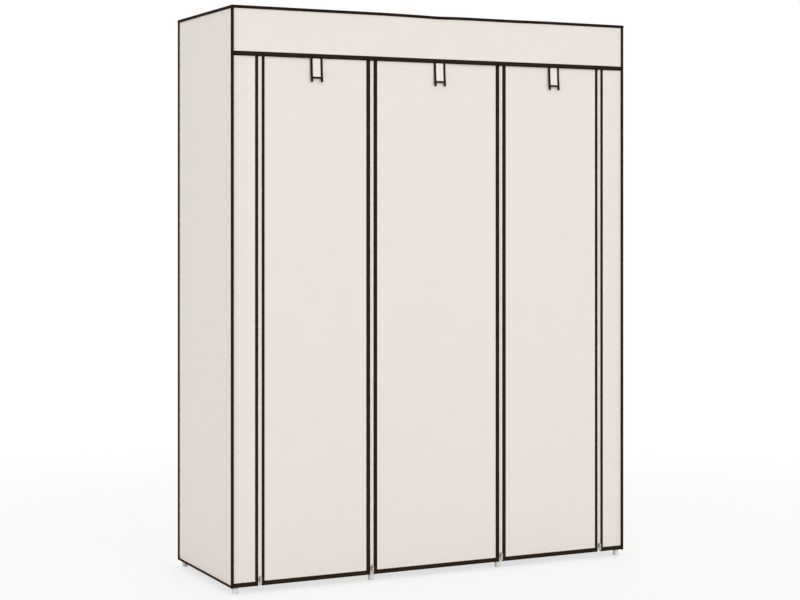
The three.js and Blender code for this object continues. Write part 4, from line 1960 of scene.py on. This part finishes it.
        def lip(axis: Axis, mouth: float, way: int) -> Surface:
            """The thicker lip at a mouth that opens one way or the other."""
            ends = (mouth, mouth - way * self.lip_width)
            return rod(axis, ends, p.joint + self.lip, rim=self.lip_rim)

        adds = [rod(Axis.Z, sleeve, p.joint, rim=rim), lip(Axis.Z, low, -1)]
        if not capped:
            adds.append(lip(Axis.Z, high, 1))
        cuts = [rod(Axis.Z, (low - rim, high - self.cap_wall if capped else high + rim), p.tube + self.fit)]
        mouths = [(Axis.X, way * self.collar, way) for way in ways] + [(Axis.Y, socket, 1)]
        for axis, mouth, way in mouths:
            adds += [rod(axis, (0.0, mouth), p.joint, rim=rim), lip(axis, mouth, way)]
            bore = (way * (self.inset - self.bore_overlap), mouth + way * rim)
            cuts.append(rod(axis, bore, p.tube + self.fit))
        return fused(adds, cuts)

    def joint_row(self, joints: dict[bool, Surface], row: Row, level: float, xs: Sequence[float]) -> Surface:
        """A row of joints along a rail.

        Args:
            joints: under True the joint for a rail's end, with a collar to +x; under False the one between.
            row: the front or the rear row.
            level: the rail's height.
            xs: the posts.

        Returns:
            The joints.
        """
        made = []
        for x in xs:
            turned = joints[x in (xs[0], xs[-1])].mirrored(x=x == xs[-1], y=row is Row.REAR)
            made.append(turned.moved(x, row.value * abs(self.plan.post_y), level))
        return joined(made)

    def joints(self) -> None:
        """All the joints: capped ones at the top, open ones at the bottom and one at each shelf's corner."""
        p, ways = self.plan, {True: (1,), False: (-1, 1)}
        top = {last: self.joint(way, self.top_sleeve, self.socket, True) for last, way in ways.items()}
        bottom = {last: self.joint(way, self.bottom_sleeve, self.socket, False) for last, way in ways.items()}
        shelf = {True: self.joint(ways[True], self.shelf_sleeve, self.collar, False)}
        for row in Row:
            for name, joints, level in (("top", top, p.top_level), ("bottom", bottom, p.bottom_level)):
                joined_row = self.joint_row(joints, row, level, p.post_xs)
                fixed(f"{name}_{row.word}_joints", [(joined_row, self.plastic)])
        for i, level in enumerate(p.shelf_levels, 1):
            corners = joined(self.joint_row(shelf, row, level, p.post_xs[:2]) for row in Row)
            fixed(f"shelf_{i}_joints", [(corners, self.plastic)])


@dataclass
class Shelving:
    """The floor cloth over the bottom tubes, and the three shelf cloths sewn round their rails."""

    plan: Plan
    cloth: Dress
    trim: Trim
    lip: float = 18 * MM
    hem: float = 5 * MM
    sag: float = 5 * MM
    floor_sag: float = 3 * MM
    gap: float = 0.3 * MM
    pitch: float = 14 * MM
    lip_pitch: float = 6 * MM
    floor_pitch: float = 16 * MM

    def build(self) -> None:
        """Make the four cloths."""
        self.floor()
        for i, level in enumerate(self.plan.shelf_levels, 1):
            self.shelf(i, level)

    def floor(self) -> None:
        """The floor cloth, notched round the posts and sagging a little between the bars."""
        p, box = self.plan, Box.of("floor_cloth")
        low, high, middle = box.low, box.high, box.z
        reach, hair = p.joint + self.gap, 1e-6
        notches = [x + side * reach for x in p.post_xs for side in (-1, 1)]
        xs = np.unique(np.concatenate([steps(low.x, high.x, self.floor_pitch), notches]))
        xs = xs[(xs >= low.x - hair) & (xs <= high.x + hair)]
        inner = abs(p.post_y) - reach
        ys = np.unique(np.concatenate([steps(-inner, inner, self.floor_pitch), [low.y, high.y]]))
        mid_x, mid_y = (xs[1:] + xs[:-1]) / 2, (ys[1:] + ys[:-1]) / 2
        near = (np.abs(mid_x[:, None] - np.array(p.post_xs)) < reach).any(1)
        keep = ~(near[:, None] & (np.abs(mid_y) > inner)[None, :])

        def place(x: Array, y: Array) -> Array:
            """The floor cloth at x and y."""
            drawn = edge_fade(y, (low.y, high.y), 0.15) * p.between_posts(x)
            return xyz(x, y, middle - self.floor_sag * drawn)

        made = fixed("floor_cloth_sheet", [(slab(xs, ys, place, p.cloth, keep), self.cloth)], "floor_cloth")
        size, under = (high.x - low.x, high.y - low.y), ["bottom_front_joints", "bottom_rear_joints"]

    def shelf(self, i: int, level: float) -> None:
        """A shelf cloth: down the outside of one rail, round over it, across with a sag and over the other.

        Args:
            i: which shelf, from 1 at the bottom.
            level: the height of its rails.
        """
        p, box = self.plan, Box.of(f"shelf_cloth_{i}")
        low, high = box.low.x, box.high.x
        radius, across = p.tube + self.gap + p.cloth / 2, abs(p.post_y)
        quarter = radius * math.pi / 2
        half = self.lip + quarter + across
        offsets = np.concatenate([
            steps(0, self.lip, self.lip_pitch)[:-1],
            self.lip + quarter * np.linspace(0, 1, 8)[:-1],
            steps(self.lip + quarter, half, self.pitch),
        ])
        run = np.concatenate([offsets - half, (half - offsets)[::-1][1:]])

        def place(x: Array, v: Array) -> Array:
            """The cloth at x and at v along its run from lip to lip."""
            left = half - np.abs(v)
            turn = np.clip((left - self.lip) / radius, 0, math.pi / 2)
            flat = np.clip(left - self.lip - quarter, 0, None)
            hang = np.clip(self.lip - left, 0, None)
            sag = self.sag * smooth(flat / across) * edge_fade(x, (low - 0.15, high + 0.15), 0.3)
            y = across + radius * np.cos(turn) - flat
            return xyz(x, np.sign(v) * y, level + radius * np.sin(turn) - hang - sag)

        surface = slab(steps(low, high, self.pitch), run, place, p.cloth)
        outside, under = across + radius + p.cloth / 2, level - self.lip + self.hem
        ends, sew = np.array([low + self.hem, high - self.hem]), self.trim.stitches
        rows = joined(sew(xyz(ends, s * outside, under), np.array([0, s, 0.0])) for s in (-1, 1))
        parts = [(surface, self.cloth), (rows, self.trim.light_thread)]
        made = fixed(f"shelf_cloth_{i}_sheet", parts, f"shelf_cloth_{i}")


# Studio

def seen_directly(graph: Graph) -> Socket:
    """1 for what the camera, a mirror or glass looks at, and 0 for what only lights the object."""
    path = graph.add("ShaderNodeLightPath").outputs
    mirrored = graph.math("MAXIMUM", path["Is Glossy Ray"], path["Is Transmission Ray"])
    return graph.math("MAXIMUM", path["Is Camera Ray"], mirrored)


@dataclass(frozen=True)
class Lamp:
    """A soft square lamp, with its place, aim, width and power."""

    name: str
    place: Point
    aim: Point
    size: float
    watts: float

    def build(self) -> None:
        """Put the lamp in the scene."""
        data = bpy.data.lights.new(self.name, "AREA")
        data.shape, data.size, data.energy = "SQUARE", self.size, self.watts
        made = bpy.data.objects.new(self.name, data)
        made.location = self.place
        made.rotation_euler = (Vector(self.aim) - Vector(self.place)).to_track_quat("-Z", "Y").to_euler()
        bpy.context.scene.collection.objects.link(made)


@dataclass
class Studio:
    """A pale floor in white surroundings, soft lamps, and the camera at the photograph's angle."""

    camera_place: Point = (-2.469, -5.018, 1.115)
    camera_yaw: float = 26.10
    lens: float = 79.56
    pixels: int = 800
    shift_pixels: Span = (0.7, -92.05)
    sky: float = 0.785
    floor_reach: float = 14.0
    floor_colour: Colour = (247, 247, 246)
    near_white: float = 0.7
    far: Span = (1.2, 3.2)
    lamps: tuple[Lamp, ...] = (
        Lamp("key_lamp", (1.1, -5.4, 2.6), (0, 0, 0.85), 4.4, 54.5),
        Lamp("left_lamp", (-4.6, -2.2, 2.2), (0, 0, 0.8), 3.0, 23.0),
        Lamp("rear_lamp", (2.5, 4.6, 3.2), (0, 0, 0.9), 3.0, 45.0),
    )

    def build(self) -> None:
        """Make the floor, the surroundings, the lamps and the camera."""
        bpy.context.scene.view_settings.view_transform = "Standard"
        self.floor()
        self.surroundings()
        for lamp in self.lamps:
            lamp.build()
        self.camera()

    def floor(self) -> None:
        """The floor: it takes the object's shadow, and goes over into plain white further out."""
        r = self.floor_reach
        mesh = bpy.data.meshes.new("floor")
        mesh.from_pydata([(-r, -r, 0), (r, -r, 0), (r, r, 0), (-r, r, 0)], [], [(0, 1, 2, 3)])
        made = bpy.data.objects.new("floor", mesh)
        bpy.context.scene.collection.objects.link(made)
        colour = linear(self.floor_colour)
        graph = MaterialGraph("pale_floor", Base_Color=colour, Roughness=0.9, Specular_IOR_Level=0.0)
        where = graph.add("ShaderNodeTexCoord").outputs["Object"]
        distance = graph.fill(graph.add("ShaderNodeVectorMath", operation="LENGTH"), [where]).outputs["Value"]
        out = graph.add("ShaderNodeMapRange", interpolation_type="SMOOTHSTEP")
        graph.fill(out, (distance, *self.far, self.near_white, 1.0))
        seen = graph.math("MULTIPLY", out.outputs[0], seen_directly(graph))
        white = graph.add("ShaderNodeEmission")
        mix = graph.fill(graph.add("ShaderNodeMixShader"), (seen, graph.shader.outputs[0], white.outputs[0]))
        graph.feed(graph.tree.nodes["Material Output"].inputs["Surface"], mix.outputs[0])
        mesh.materials.append(graph.material)

    def surroundings(self) -> None:
        """Even light from all round, which looks plain white when it is seen directly."""
        world = bpy.data.worlds.new("surroundings")
        bpy.context.scene.world = world
        world.use_nodes = True
        graph, nodes, full = Graph(world.node_tree), world.node_tree.nodes, (1, 1, 1, 1)
        light = graph.fill(nodes["Background"], (full, self.sky))
        white = graph.fill(graph.add("ShaderNodeBackground"), (full,))
        mix = graph.add("ShaderNodeMixShader")
        graph.fill(mix, (seen_directly(graph), light.outputs[0], white.outputs[0]))
        graph.feed(nodes["World Output"].inputs["Surface"], mix.outputs[0])

    def camera(self) -> None:
        """The camera: level, and shifted so that the horizon lies where the photograph has it."""
        data = bpy.data.cameras.new("camera")
        data.sensor_fit, data.sensor_width, data.lens = "HORIZONTAL", 36.0, self.lens
        right, up = self.shift_pixels
        data.shift_x, data.shift_y = -right / self.pixels, up / self.pixels
        made = bpy.data.objects.new("camera", data)
        made.location = self.camera_place
        made.rotation_euler = (math.pi / 2, 0, -math.radians(self.camera_yaw))
        bpy.context.scene.collection.objects.link(made)
        bpy.context.scene.camera = made


def main() -> None:
    """Build the studio and the wardrobe."""
    logging.basicConfig(level=logging.INFO, format="%(message)s")
    Studio().build()
    plan, finishes = Plan.read(), WardrobeFinishes.made()
    trim = Trim(finishes.binding, finishes.piping, finishes.thread, finishes.light_thread)
    track = ZipTrack(plan, finishes.zip_tape, finishes.zip_coil)
    TubeFrame(plan, finishes.steel, finishes.plastic).build()
    Shelving(plan, finishes.inside, trim).build()
    CoverShell(plan, trim, finishes.cover).build()
    for side, *zips in zip(Side, ZipPlace, list(ZipPlace)[1:]):
        RollDoor(plan, trim, finishes.cover, track, side, tuple(zips)).build()
        TieStrap(plan, trim, finishes.strap, side).build()
    track.on_stiles()
    ZipSliders(plan, finishes.zip_metal).build()


if __name__ == "__main__":
    main()
